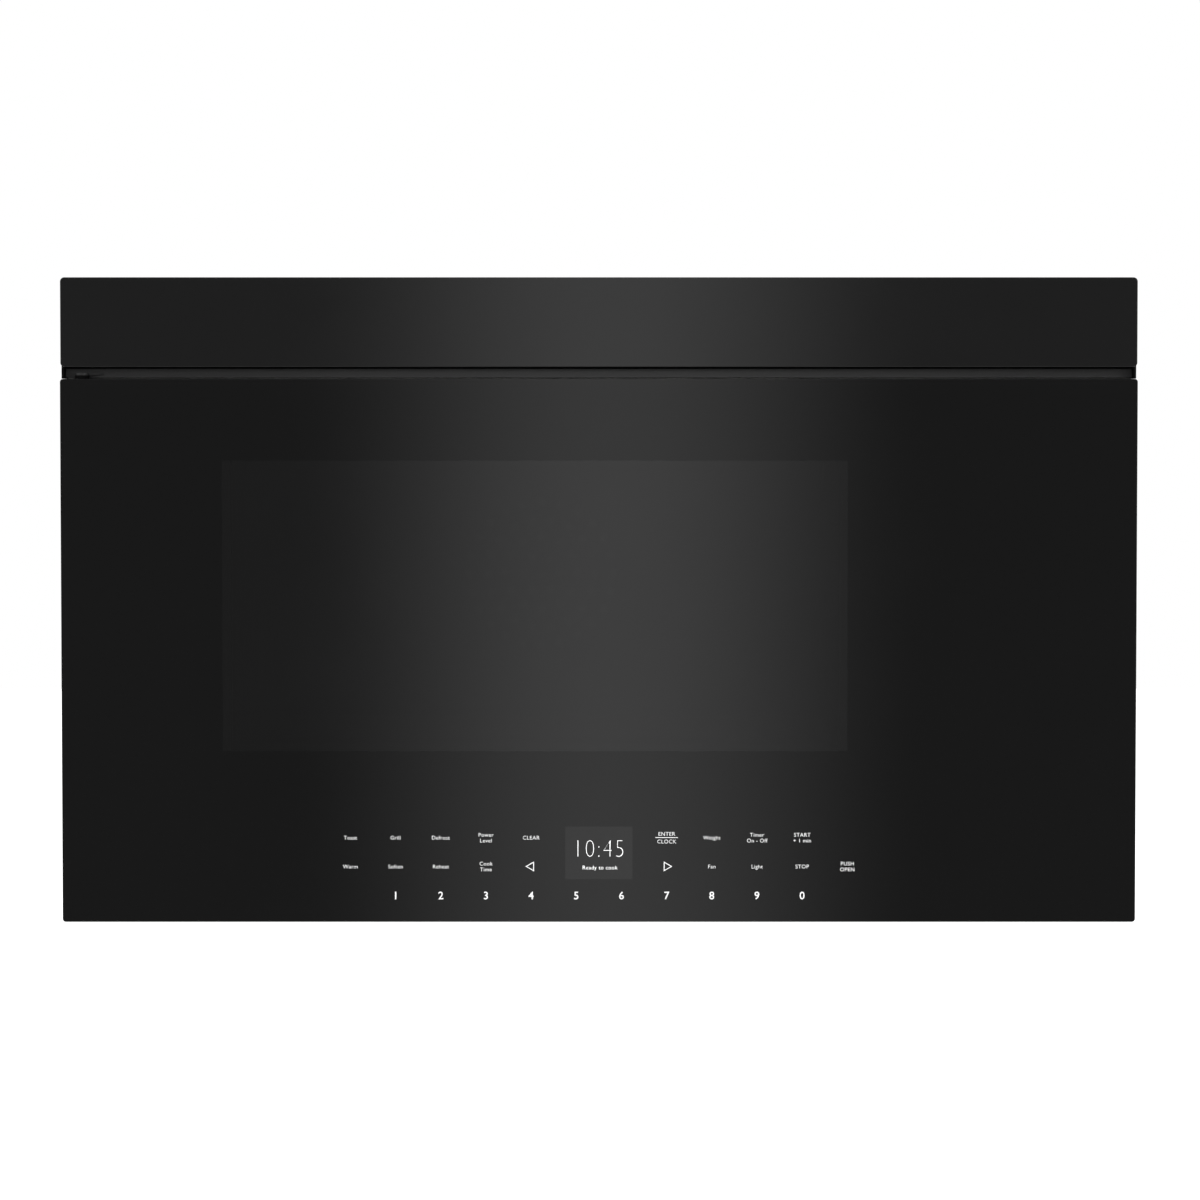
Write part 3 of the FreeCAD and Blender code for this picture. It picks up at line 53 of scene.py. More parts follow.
target = Vector((0.0008, DOOR_FRONT, 0.2254))
camera_data = bpy.data.cameras.new("camera")
camera = bpy.data.objects.new("camera", camera_data)
camera.location = target + VIEW_DISTANCE * Vector((0, -math.cos(PITCH), math.sin(PITCH)))
camera.rotation_euler = (math.pi / 2 - PITCH, 0, 0)
camera_data.lens = camera_data.sensor_width * VIEW_DISTANCE / FRAME_WIDTH
camera_data.clip_end = 60
bpy.context.scene.collection.objects.link(camera)
bpy.context.scene.camera = camera
bpy.context.scene.view_settings.view_transform = "Standard"


def rgb(code):
    """An sRGB hex colour as linear RGBA."""
    parts = [int(code[k:k + 2], 16) / 255 for k in (0, 2, 4)]
    return [c / 12.92 if c <= 0.04045 else ((c + 0.055) / 1.055) ** 2.4 for c in parts] + [1.0]


def add(tree, kind, sets=None, **inputs):
    """Adds a node. sets holds its attributes; an input is a value or the socket that feeds it."""
    node = tree.nodes.new(kind)
    for name, value in (sets or {}).items():
        setattr(node, name, value)
    for name, value in inputs.items():
        socket = node.inputs[int(name[1:]) if name[1:].isdigit() else name.replace("_", " ")]
        if isinstance(value, bpy.types.NodeSocket):
            tree.links.new(value, socket)
        else:
            socket.default_value = value
    return node


def shader_tree(owner):
    """An empty node tree of a material or world."""
    owner.use_nodes = True
    owner.node_tree.nodes.clear()
    return owner.node_tree


# The surroundings light the object at this level, and are white where they are looked at
SOFT_LIGHT = 0.55
world = bpy.data.worlds.new("studio")
bpy.context.scene.world = world
tree = shader_tree(world)
path = add(tree, "ShaderNodeLightPath").outputs
seen = add(tree, "ShaderNodeMath", {"operation": "MAXIMUM"}, i0=path["Is Camera Ray"],
           i1=path["Is Transmission Ray"])
seen = add(tree, "ShaderNodeMath", {"operation": "MAXIMUM"}, i0=seen.outputs[0],
           i1=path["Is Glossy Ray"])
dim = add(tree, "ShaderNodeBackground", Color=rgb("FFFFFF"), Strength=SOFT_LIGHT)
white = add(tree, "ShaderNodeBackground", Color=rgb("FFFFFF"), Strength=1.0)
both = add(tree, "ShaderNodeMixShader", i0=seen.outputs[0], i1=dim.outputs[0],
           i2=white.outputs[0])
add(tree, "ShaderNodeOutputWorld", Surface=both.outputs[0])


def lamp(name, place, aim, size, watts):
    """A soft square lamp that lights the object and doesn't show in it."""
    data = bpy.data.lights.new(name, "AREA")
    data.size = size
    data.energy = watts
    obj = bpy.data.objects.new(name, data)
    obj.location = place
    obj.rotation_euler = (Vector(aim) - Vector(place)).to_track_quat("-Z", "Y").to_euler()
    obj.visible_glossy = False
    bpy.context.scene.collection.objects.link(obj)


MIDDLE = (0, -0.2, 0.2)
UNDERSIDE = (0, -0.2, 0.0)
lamp("key_lamp", (-2.2, -2.6, 2.6), MIDDLE, size=1.6, watts=62)
lamp("fill_lamp", (2.6, -2.4, 1.4), MIDDLE, size=1.6, watts=34)
lamp("back_lamp", (0.8, 2.6, 2.2), MIDDLE, size=1.8, watts=48)
lamp("low_lamp", (0.0, -1.2, -0.7), UNDERSIDE, size=1.2, watts=10)


def stand(name, tool):
    """Makes an object of a bmesh and puts it in the scene."""
    mesh = bpy.data.meshes.new(name)
    tool.to_mesh(mesh)
    tool.free()
    obj = bpy.data.objects.new(name, mesh)
    bpy.context.scene.collection.objects.link(obj)
    return obj


# The floor: pale paper that keeps the object's shadow, and is clear to an eye below it
FLOOR_LEVEL = -0.75
FLOOR_HALF = 14.0
tool = bmesh.new()
bmesh.ops.create_grid(tool, x_segments=1, y_segments=1, size=FLOOR_HALF,
                      matrix=Matrix.Translation((0, 0, FLOOR_LEVEL)))
floor = stand("studio_floor", tool)
paper = bpy.data.materials.new("pale_floor_paper")
tree = shader_tree(paper)
path = add(tree, "ShaderNodeLightPath").outputs
matte = add(tree, "ShaderNodeBsdfDiffuse", Color=rgb("E9E9E9"))
glow = add(tree, "ShaderNodeEmission", Color=rgb("FFFFFF"), Strength=path["Is Camera Ray"])
lit = add(tree, "ShaderNodeAddShader", i0=matte.outputs[0], i1=glow.outputs[0])
below = add(tree, "ShaderNodeNewGeometry").outputs["Backfacing"]
clear = add(tree, "ShaderNodeBsdfTransparent")
one_sided = add(tree, "ShaderNodeMixShader", i0=below, i1=lit.outputs[0], i2=clear.outputs[0])
add(tree, "ShaderNodeOutputMaterial", Surface=one_sided.outputs[0])
floor.data.materials.append(paper)

# The softbox: its light falls off to both sides, so the stripe in the glass has no edge
SOFTBOX_BEHIND = 4.0
SOFTBOX_HALF = 1.9
SOFTBOX_HEIGHT = 1.2
STRIPE_CENTRE = 0.008
STRIPE_HALF = 0.228
BRIGHT, DIM = 0.93, 0.19
spread = 1 + SOFTBOX_BEHIND / VIEW_DISTANCE
tool = bmesh.new()
bmesh.ops.create_grid(tool, x_segments=1, y_segments=1, size=SOFTBOX_HALF)
bmesh.ops.rotate(tool, cent=(0, 0, 0), matrix=Matrix.Rotation(-math.pi / 2, 3, "X"),
                 verts=tool.verts)
bmesh.ops.translate(tool, vec=(0, DOOR_FRONT - SOFTBOX_BEHIND, SOFTBOX_HEIGHT),
                    verts=tool.verts)
softbox = stand("softbox", tool)
cloth = bpy.data.materials.new("softbox_cloth")
tree = shader_tree(cloth)
x = add(tree, "ShaderNodeSeparateXYZ",
        Vector=add(tree, "ShaderNodeTexCoord").outputs["Object"]).outputs["X"]
off = add(tree, "ShaderNodeMath", {"operation": "SUBTRACT"}, i0=x, i1=STRIPE_CENTRE * spread)
off = add(tree, "ShaderNodeMath", {"operation": "ABSOLUTE"}, i0=off.outputs[0])
level = add(tree, "ShaderNodeMapRange", {"interpolation_type": "SMOOTHSTEP"},
            Value=off.outputs[0], From_Min=0.0, From_Max=STRIPE_HALF * spread, To_Min=BRIGHT,
            To_Max=DIM)
shine = add(tree, "ShaderNodeEmission", Color=rgb("FFFFFF"), Strength=level.outputs[0])
add(tree, "ShaderNodeOutputMaterial", Surface=shine.outputs[0])
softbox.data.materials.append(cloth)
softbox.visible_camera = False
softbox.visible_shadow = False


# Wall mounting plate: 1.5 mm galvanised steel, punched for the studs and pressed with shallow
# beads for stiffness. It is screwed to the wall, and the cabinet hangs on its two hooks.


def reach(node):
    """A CAD node's lowest and highest corners, in millimetres."""
    return [[round(v / MM, 3) for v in corner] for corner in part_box(node)]


def block(tool, low, high):
    """A block between two corners; returns its corner points."""
    low, high = Vector(low), Vector(high)
    place = Matrix.Translation((low + high) / 2) @ Matrix.Diagonal((*(high - low), 1))
    return bmesh.ops.create_cube(tool, size=1, matrix=place)["verts"]


def soften(tool, edges, width, segments=3):
    """Rounds edges."""
    bmesh.ops.bevel(tool, geom=list(edges), offset=width, offset_type="OFFSET",
                    affect="EDGES", segments=segments, profile=0.5, material=-1,
                    clamp_overlap=True)


def piece(name, tool, body, materials, stands_for=(), crease=35):
    """Turns a bmesh in millimetres into an object that rides on a body."""
    bmesh.ops.scale(tool, vec=(MM, MM, MM), verts=tool.verts)
    obj = stand(name, tool)
    for each in materials:
        obj.data.materials.append(each)
    obj.data.shade_smooth()
    obj.data.set_sharp_from_angle(angle=math.radians(crease))
    even = obj.modifiers.new("even_normals", "WEIGHTED_NORMAL")
    even.keep_sharp = True
    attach(obj, body)
    if stands_for:
        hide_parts(*stands_for)


def surface(name, colour, rough, grain=1.0, depth=0.0, metal=0.0, streak=(1, 1, 1), spread=0.06,
            shade=0.12, wear=None, **sockets):
    """A material whose tone, gloss and height vary with a noise of a real grain size in mm."""
    CLOUDS_PER_METRE = 12.0
    made = bpy.data.materials.new(name)
    tree = shader_tree(made)
    spot = add(tree, "ShaderNodeMapping", Scale=streak,
               Vector=add(tree, "ShaderNodeTexCoord").outputs["Object"]).outputs[0]
    fine = add(tree, "ShaderNodeTexNoise", Vector=spot, Scale=1 / (grain * MM), Detail=3.0)
    broad = add(tree, "ShaderNodeTexNoise", Vector=spot, Scale=CLOUDS_PER_METRE, Detail=4.0)
    dark = [c * (1 - shade) for c in rgb(colour)[:3]] + [1]
    light = [min(c * (1 + shade), 1) for c in rgb(colour)[:3]] + [1]
    tone = add(tree, "ShaderNodeMix", {"data_type": "RGBA"}, i0=broad.outputs[0], i6=dark,
               i7=light).outputs[2]
    if wear:
        worn = add(tree, "ShaderNodeMapRange", Value=broad.outputs[0], From_Min=0.58,
                   From_Max=0.72, To_Min=0.0, To_Max=0.5)
        tone = add(tree, "ShaderNodeMix", {"data_type": "RGBA"}, i0=worn.outputs[0], i6=tone,
                   i7=rgb(wear)).outputs[2]
    gloss = add(tree, "ShaderNodeMapRange", Value=fine.outputs[0], From_Min=0.3, From_Max=0.7,
                To_Min=max(rough - spread, 0.02), To_Max=min(rough + spread, 1.0))
    shader = add(tree, "ShaderNodeBsdfPrincipled", Base_Color=tone, Roughness=gloss.outputs[0],
                 Metallic=metal, **sockets)
    if depth:
        bump = add(tree, "ShaderNodeBump", Height=fine.outputs[0], Distance=depth * MM,
                   Strength=1.0)
        tree.links.new(bump.outputs[0], shader.inputs["Normal"])
    add(tree, "ShaderNodeOutputMaterial", Surface=shader.outputs[0])
    return made


def from_cad(node):
    """A copy of a CAD node's form in millimetres, its loose triangles merged into plain faces."""
    tool = bmesh.new()
    tool.from_mesh(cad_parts[node].data)
    bmesh.ops.scale(tool, vec=(1 / MM, 1 / MM, 1 / MM), verts=tool.verts)
    bmesh.ops.remove_doubles(tool, verts=tool.verts, dist=0.01)
    bmesh.ops.dissolve_limit(tool, angle_limit=math.radians(1), verts=tool.verts,
                             edges=tool.edges)
    return tool


# Hot-dip zinc is a cool pale grey; its spangle, flat crystals about 9 mm across, makes each patch
# catch the light a little differently
SPANGLE = 9.0
FILM_PER_METRE = 14.0
galvanised = bpy.data.materials.new("galvanised_steel")
tree = shader_tree(galvanised)
spot = add(tree, "ShaderNodeTexCoord").outputs["Object"]
crystal = add(tree, "ShaderNodeTexVoronoi", Vector=spot, Scale=1 / (SPANGLE * MM))
shine = add(tree, "ShaderNodeSeparateColor", Color=crystal.outputs["Color"]).outputs["Red"]
film = add(tree, "ShaderNodeTexNoise", Vector=spot, Scale=FILM_PER_METRE, Detail=4.0).outputs[0]
tone = add(tree, "ShaderNodeMix", {"data_type": "RGBA"}, i0=shine, i6=rgb("A0A4A6"),
           i7=rgb("B4B8BA"))
tone = add(tree, "ShaderNodeMix", {"data_type": "RGBA", "blend_type": "MULTIPLY"}, i0=0.5,
           i6=tone.outputs[2], i7=film)
gloss = add(tree, "ShaderNodeMapRange", Value=shine, To_Min=0.34, To_Max=0.46)
shader = add(tree, "ShaderNodeBsdfPrincipled", Base_Color=tone.outputs[2], Metallic=0.85,
             Roughness=gloss.outputs[0])
add(tree, "ShaderNodeOutputMaterial", Surface=shader.outputs[0])

(left, front, foot), (right, back, head) = reach("wall_mounting_plate")
tool = from_cad("wall_mounting_plate")
# A press draws each bead out of the sheet by its rise, so its sides slope and its crest is round
RISE = 0.9
SLOPE = 3.2
CREST_ROUND = 0.8
for vert in tool.verts:
    if vert.co.y > back - 0.01:
        vert.co.y -= RISE
beads = [(low_x, high_x, z, 15) for z in (150, 190, 230, 270)
         for low_x, high_x in ((-330, -215), (-190, 190), (215, 330))]
beads += [(left + 14, right - 14, z, 13) for z in (24, 405)]
for low_x, high_x, z, tall in beads:
    made = block(tool, (low_x, back - 2 * RISE, z), (high_x, back, z + tall))
    crest = next(f for v in made for f in v.link_faces if f.normal.y > 0.9)
    middle = crest.calc_center_median()
    for vert in crest.verts:
        vert.co.x += SLOPE if vert.co.x < middle.x else -SLOPE
        vert.co.z += SLOPE if vert.co.z < middle.z else -SLOPE
    soften(tool, crest.edges, CREST_ROUND, 2)
piece("wall_plate", tool, "cabinet", [galvanised], ["wall_mounting_plate"])

# Back panel: 1 mm galvanised sheet, slotted for the wall plate's hooks and held to the cabinet's
# flanges by screws down both sides. The wall plate and these sheets are all the same stock.


def dress(finish, *nodes):
    """Gives CAD nodes a finish."""
    for node in nodes:
        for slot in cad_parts[node].material_slots:
            slot.material = finish


def screw(tool, centre, axis, radius, height):
    """A pan-head screw with a six-lobed socket, its head out along an axis."""
    POINTS = 12
    SOCKET = 0.66
    made = bmesh.ops.create_circle(tool, cap_ends=True, segments=POINTS, radius=radius)["verts"]
    face = made[0].link_faces[0]
    if face.normal.z < 0:
        face.normal_flip()
    whole = list(made)
    for scale, rise in ((1, 0.5), (0.86, 0.38), (SOCKET, 0.12), (0.9, -0.5)):
        grown = bmesh.ops.extrude_face_region(tool, geom=[face])["geom"]
        fresh = [g for g in grown if isinstance(g, bmesh.types.BMVert)]
        face = next(g for g in grown if isinstance(g, bmesh.types.BMFace))
        middle = face.calc_center_median()
        for vert in face.verts:
            # Which points are drawn in goes by their angle, as their order isn't the same each run
            arm = vert.co - middle
            place = round(math.atan2(arm.y, arm.x) / math.tau * POINTS)
            lobe = 0.8 if scale == SOCKET and place % 2 == 0 else 1
            vert.co = middle + arm * scale * lobe
            vert.co.z += rise * height
        whole += fresh
    turn = Vector((0, 0, 1)).rotation_difference(Vector(axis)).to_matrix().to_4x4()
    bmesh.ops.transform(tool, verts=whole, matrix=Matrix.Translation(centre) @ turn)


dress(galvanised, "back_panel")
# Zinc-plated screws are smoother than the sheet and a little yellow
screw_zinc = surface("zinc_plated_screw", "B9B7AE", 0.28, grain=0.8, depth=0.01, metal=1.0)
(left, front, foot), (right, back, head) = reach("back_panel")
SCREWS_A_SIDE = 5
FROM_SIDE = 8
FROM_END = 20
step = (head - foot - 2 * FROM_END) / (SCREWS_A_SIDE - 1)
tool = bmesh.new()
for x in (left + FROM_SIDE, right - FROM_SIDE):
    for k in range(SCREWS_A_SIDE):
        screw(tool, (x, back, foot + FROM_END + k * step), (0, 1, 0), 3.2, 1.2)
piece("back_panel_screws", tool, "cabinet", [screw_zinc])

# Cabinet shell: two side sheets and the top, 1 mm steel, folded at the edges, sprayed satin black
# and screwed together. Each side carries a row of pressed louvres beside the electronics bay.
X, Y, Z = 0, 1, 2


def along(edge, axis):
    """Whether an edge runs along an axis."""
    way = edge.verts[1].co - edge.verts[0].co
    return abs(way[axis]) > 0.999 * way.length


def corners(tool, above=40):
    """The edges where two faces meet at more than an angle."""
    return [e for e in tool.edges if math.degrees(e.calc_face_angle(0)) > above]


def bead(tool, low, high, width):
    """A low rounded pad or rib."""
    made = block(tool, low, high)
    rim = {e for v in made for e in v.link_edges}
    soften(tool, rim, width, 2)


# Satin powder coat has a fine orange peel, near 1 mm from bump to bump
black_coat = surface("satin_black_powder_coat", "1B1B1C", 0.42, grain=1.1, depth=0.03,
                     spread=0.06, shade=0.08, IOR=1.5)
# Black-oxide screws are nearly as dark as the paint, with a duller shine
black_screw = surface("black_oxide_screw", "141414", 0.35, grain=0.7, depth=0.01, metal=0.6)

(left, front, foot), (right, back, head) = reach("cabinet_shell")
HEAD_SPACE = 0.5
FOLD = 0.8
tool = from_cad("cabinet_shell")
# The top sheet lies lower by a screw head's height, so that the heads stay inside the cabinet
for vert in tool.verts:
    if vert.co.z > head - 0.01 and abs(vert.co.x) < right - 0.5:
        vert.co.z -= HEAD_SPACE
outer = [e for e in corners(tool) if all(abs(v.co.x) > right - 0.1 for v in e.verts)
         and (along(e, Y) or along(e, Z))]
soften(tool, outer, FOLD, 3)
LOUVRES = 9
LOUVRE_PITCH = 14
LOUVRE_TALL = 6
LOUVRE_BACK, LOUVRE_FRONT = -95, -150
LOUVRES_UP = 150
PROUD = 1.2
for side in (left, right):
    out = PROUD if side > 0 else -PROUD
    for k in range(LOUVRES):
        z = foot + LOUVRES_UP + k * LOUVRE_PITCH
        bead(tool, (min(side, side + out), LOUVRE_FRONT, z),
             (max(side, side + out), LOUVRE_BACK, z + LOUVRE_TALL), 1.1)
    for y in (-340, -190, -40):
        for z in (head - 14, foot + 14):
            screw(tool, (side, y, z), (out, 0, 0), 3.2, 1.1)
piece("cabinet_case", tool, "cabinet", [black_coat], ["cabinet_shell"])
tool = bmesh.new()
for x in (-350, -180, 180, 350):
    for y in (-20, -350):
        screw(tool, (x, y, head - HEAD_SPACE), (0, 0, 1), 3.2, HEAD_SPACE)
piece("top_screws", tool, "cabinet", [black_screw])

# Threaded plates: two galvanised squares welded under the top, which take the bolts that come
# down from the cupboard above
dress(galvanised, "top_nut_plates")

# Cord bushing: a black nylon strain relief that snaps into the top sheet and keeps the cord off
# its edge. Moulded nylon is a little waxy, with a faint texture from its mould.
nylon = surface("moulded_black_nylon", "151515", 0.5, grain=1.5, depth=0.02, IOR=1.53)
dress(nylon, "power_cord_gland")

# Exhaust damper: a zinc frame screwed under the duct opening, with a light sheet flap on a wire
# pin that the blower's air lifts
dress(galvanised, "damper_frame", "damper_flap")

# Blower: two scroll housings of grey polypropylene, screwed to the cabinet either side of the
# motor, and a moulded cage rotor. Polypropylene is dull, with soft flow marks from the mould.
grey_plastic = surface("grey_polypropylene", "5E6062", 0.45, grain=2, depth=0.02, IOR=1.49)
dress(grey_plastic, "blower_housings", "blower_rotor")

# Motors: drawn steel cans with a thin clear zinc coat, for the blower, the convection fan and the
# antenna. Drawing leaves fine marks down the can.
motor_steel = surface("drawn_motor_steel", "8E8F90", 0.34, grain=1.4, depth=0.01, metal=0.95,
                      streak=(1, 1, 6))
dress(motor_steel, "blower_motor", "convection_motor", "antenna_motor")

# Charcoal filter: a tray of loose black granules, 2 mm across, behind the vent panel. Granules
# are matte, rough and nearly black.
charcoal = surface("activated_charcoal", "0E0E0E", 0.85, grain=2.2, depth=1.2, spread=0.1,
                   shade=0.5)
dress(charcoal, "charcoal_filter")

# Oven cavity: 1 mm steel, drawn and welded, fired with dark grey vitreous enamel. The enamel is
# glossy, with a slight wave, and pale specks about a millimetre across hide fat splashes.
SPECK_SPACING = 3.2
WAVES_PER_METRE = 30.0
enamel = bpy.data.materials.new("speckled_grey_enamel")
tree = shader_tree(enamel)
spot = add(tree, "ShaderNodeTexCoord").outputs["Object"]
specks = add(tree, "ShaderNodeTexVoronoi", Vector=spot, Scale=1 / (SPECK_SPACING * MM))
speck = add(tree, "ShaderNodeMapRange", Value=specks.outputs["Distance"], From_Min=0.1,
            From_Max=0.2, To_Min=0.75, To_Max=0.0)
wave = add(tree, "ShaderNodeTexNoise", Vector=spot, Scale=WAVES_PER_METRE, Detail=3.0).outputs[0]
base = add(tree, "ShaderNodeMix", {"data_type": "RGBA"}, i0=wave, i6=rgb("3A3D41"),
           i7=rgb("464A4E"))
tone = add(tree, "ShaderNodeMix", {"data_type": "RGBA"}, i0=speck.outputs[0], i6=base.outputs[2],
           i7=rgb("B4B7B9"))
bump = add(tree, "ShaderNodeBump", Height=wave, Distance=0.15 * MM, Strength=1.0)
shader = add(tree, "ShaderNodeBsdfPrincipled", Base_Color=tone.outputs[2], Roughness=0.16,
             IOR=1.54, Normal=bump.outputs[0])
add(tree, "ShaderNodeOutputMaterial", Surface=shader.outputs[0])
dress(enamel, "oven_cavity")

# Front face plate and convection fan: brushed stainless sheet, the plate welded round the cavity's
# mouth and slotted for the latch claws. The brushing runs across, in lines 0.6 mm apart.
brushed = surface("brushed_stainless", "A5A5A3", 0.3, grain=0.6, depth=0.006, metal=1.0,
                  streak=(0.04, 1, 1), shade=0.05)
dress(brushed, "front_face_plate", "convection_fan")

# Floor plate: a sheet of ivory glass ceramic that lies in the cavity's floor, over the antenna.
# It is smooth and softly glossy, with a faint cloudiness.
dress(surface("ivory_glass_ceramic", "C9C4B8", 0.22, grain=3, spread=0.04, shade=0.04,
              IOR=1.54), "ceramic_floor_plate")

# Floor seal: a bead of grey silicone under the plate's rim, laid by a nozzle and smoothed by
# hand. Silicone has a soft satin look, with no sharp highlight.
dress(surface("grey_silicone", "6F7071", 0.6, grain=2, depth=0.02, IOR=1.43),
      "ceramic_floor_seal")

# Side racks and grill clips: 3 mm steel wire and strip, welded, then plated in chromium and
# hooked on the oven's walls. The plating is nearly a mirror, a little blue.
chrome = surface("chromed_wire", "D2D3D5", 0.12, grain=20, metal=1.0, spread=0.04, shade=0.03)
dress(chrome, "side_racks", "grill_element_clips")

# Grill element and ring heater: steel tubes packed with magnesia. Their own heat turns them brown
# with blue-grey patches and a dull oxide bloom.
burnt = surface("heat_browned_steel", "54483F", 0.42, grain=9, metal=0.8, depth=0.02,
                shade=0.3, wear="2E3440")
dress(burnt, "grill_element", "convection_heater")

# Convection pan, waveguide and magnetron yoke: folded galvanised sheet, spot-welded to the back,
# the floor and the side of the cavity, with the same spangle as the back panel
dress(galvanised, "convection_pan", "waveguide", "magnetron_yoke")

# Antenna and cooling fan: white mouldings of filled polypropylene. The antenna turns on its
# motor's shaft under the ceramic plate. The filler leaves the surface dull, with faint mottling.
white_plastic = surface("white_moulded_plastic", "CFCFC9", 0.45, grain=2, depth=0.01, IOR=1.5)
dress(white_plastic, "antenna_rotor", "cooling_fan_frame", "cooling_fan_blades")

# Cavity lamp: a frosted glass bulb and lens in the right-hand wall, screwed in from outside.
# The frost spreads each highlight and shows a fine grain.
dress(surface("frosted_lamp_glass", "D9DCDC", 0.4, grain=1.5, depth=0.05, IOR=1.5),
      "cavity_lamp")

# Heat wool: bats of mineral wool laid over the cavity. The wool is yellow-grey, deeply matted
# and has no shine at all.
dress(surface("mineral_wool", "B9B197", 0.95, grain=5, depth=2.5, shade=0.3, spread=0.05),
      "cavity_insulation")

# Cut-outs, door switches, latch body and solenoid: black phenolic mouldings, pressed hot, so
# harder and glossier than other black plastics here
bakelite = surface("black_phenolic_moulding", "1C1A19", 0.38, grain=2, depth=0.01, IOR=1.55)
dress(bakelite, "thermal_cutouts", "door_switches", "latch_body", "release_solenoid")

# Switch buttons: moulded pins that the latch claws press, held in the switches by their own
# springs. The plastic is red right through and slightly shiny.
dress(surface("red_push_button", "8E2A22", 0.35, grain=2, IOR=1.5), "door_switch_buttons")

# Release lever and plunger: the lever is natural white acetal, slippery and slightly see-through
# at its edges, and the plunger and the hinge's screws are zinc-plated steel
acetal = surface("white_acetal", "D6D4CC", 0.38, grain=2, depth=0.01, IOR=1.48)
dress(acetal, "release_lever")
dress(screw_zinc, "solenoid_plunger", "hinge_screws")

# Magnetron anode and heat sink: cast and extruded aluminium fins, pressed on the anode and
# screwed to the inverter. They are left bare, so they are pale with a fine grain.
dress(surface("cast_aluminium", "B6B8BA", 0.36, grain=1.2, depth=0.02, metal=1.0),
      "magnetron_anode", "inverter_heat_sink")

# Inverter tray and transformer: a galvanised tray, and a coil of enamelled copper litz whose
# turns, half a millimetre apart, glint brown
dress(galvanised, "inverter_tray")
dress(surface("enamelled_copper_winding", "7E4220", 0.32, grain=0.5, depth=0.15, metal=0.7,
              streak=(1, 1, 8)), "inverter_transformer")

# Circuit boards: glass-fibre board on plastic pillars. Tracks show as a faint relief in the green
# solder mask, which is half glossy.
dress(surface("green_solder_mask", "12502C", 0.35, grain=1.5, depth=0.03, IOR=1.5),
      "main_control_board", "mains_filter_board", "inverter_board", "touch_key_board")

# Bottom pan: 1 mm steel in the same satin black, pressed with long beads and held by screws round
# its rim; it has two openings for the filters and two round ones for the lamps
(left, front, foot), (right, back, head) = reach("bottom_pan")
tool = from_cad("bottom_pan")
BEAD_DEPTH = 1.1
BEAD_WIDE = 8
BEAD_ROUND = 0.8
RIM = 12
for low_x, high_x, y in ((-350, -40, front + RIM), (40, 350, front + RIM),
                         (-340, 340, back - 34), (-320, 320, back - 60)):
    bead(tool, (low_x, y, foot - BEAD_DEPTH), (high_x, y + BEAD_WIDE, foot + BEAD_ROUND),
         BEAD_ROUND)
bead(tool, (-6, -270, foot - BEAD_DEPTH), (6, -110, foot + BEAD_ROUND), BEAD_ROUND)
piece("bottom_pan_pressing", tool, "cabinet", [black_coat], ["bottom_pan"])
tool = bmesh.new()
for x in (left + RIM, -120, 120, right - RIM):
    for y in (front + 28, back - RIM):
        screw(tool, (x, y, foot), (0, 0, -1), 3.4, 1.3)
for x in (left + RIM, right - RIM):
    screw(tool, (x, -190, foot), (0, 0, -1), 3.4, 1.3)
piece("bottom_pan_screws", tool, "cabinet", [black_screw])

# Grease filters: layers of expanded aluminium mesh clamped in a folded aluminium frame, each with
# a finger tab. They drop into the pan's openings from below.


def slice_at(tool, place, normal, clear=False):
    """Cuts a mesh along a plane, and may clear what lies beyond it."""
    bmesh.ops.bisect_plane(tool, geom=tool.verts[:] + tool.edges[:] + tool.faces[:],
                           plane_co=place, plane_no=normal, clear_outer=clear)


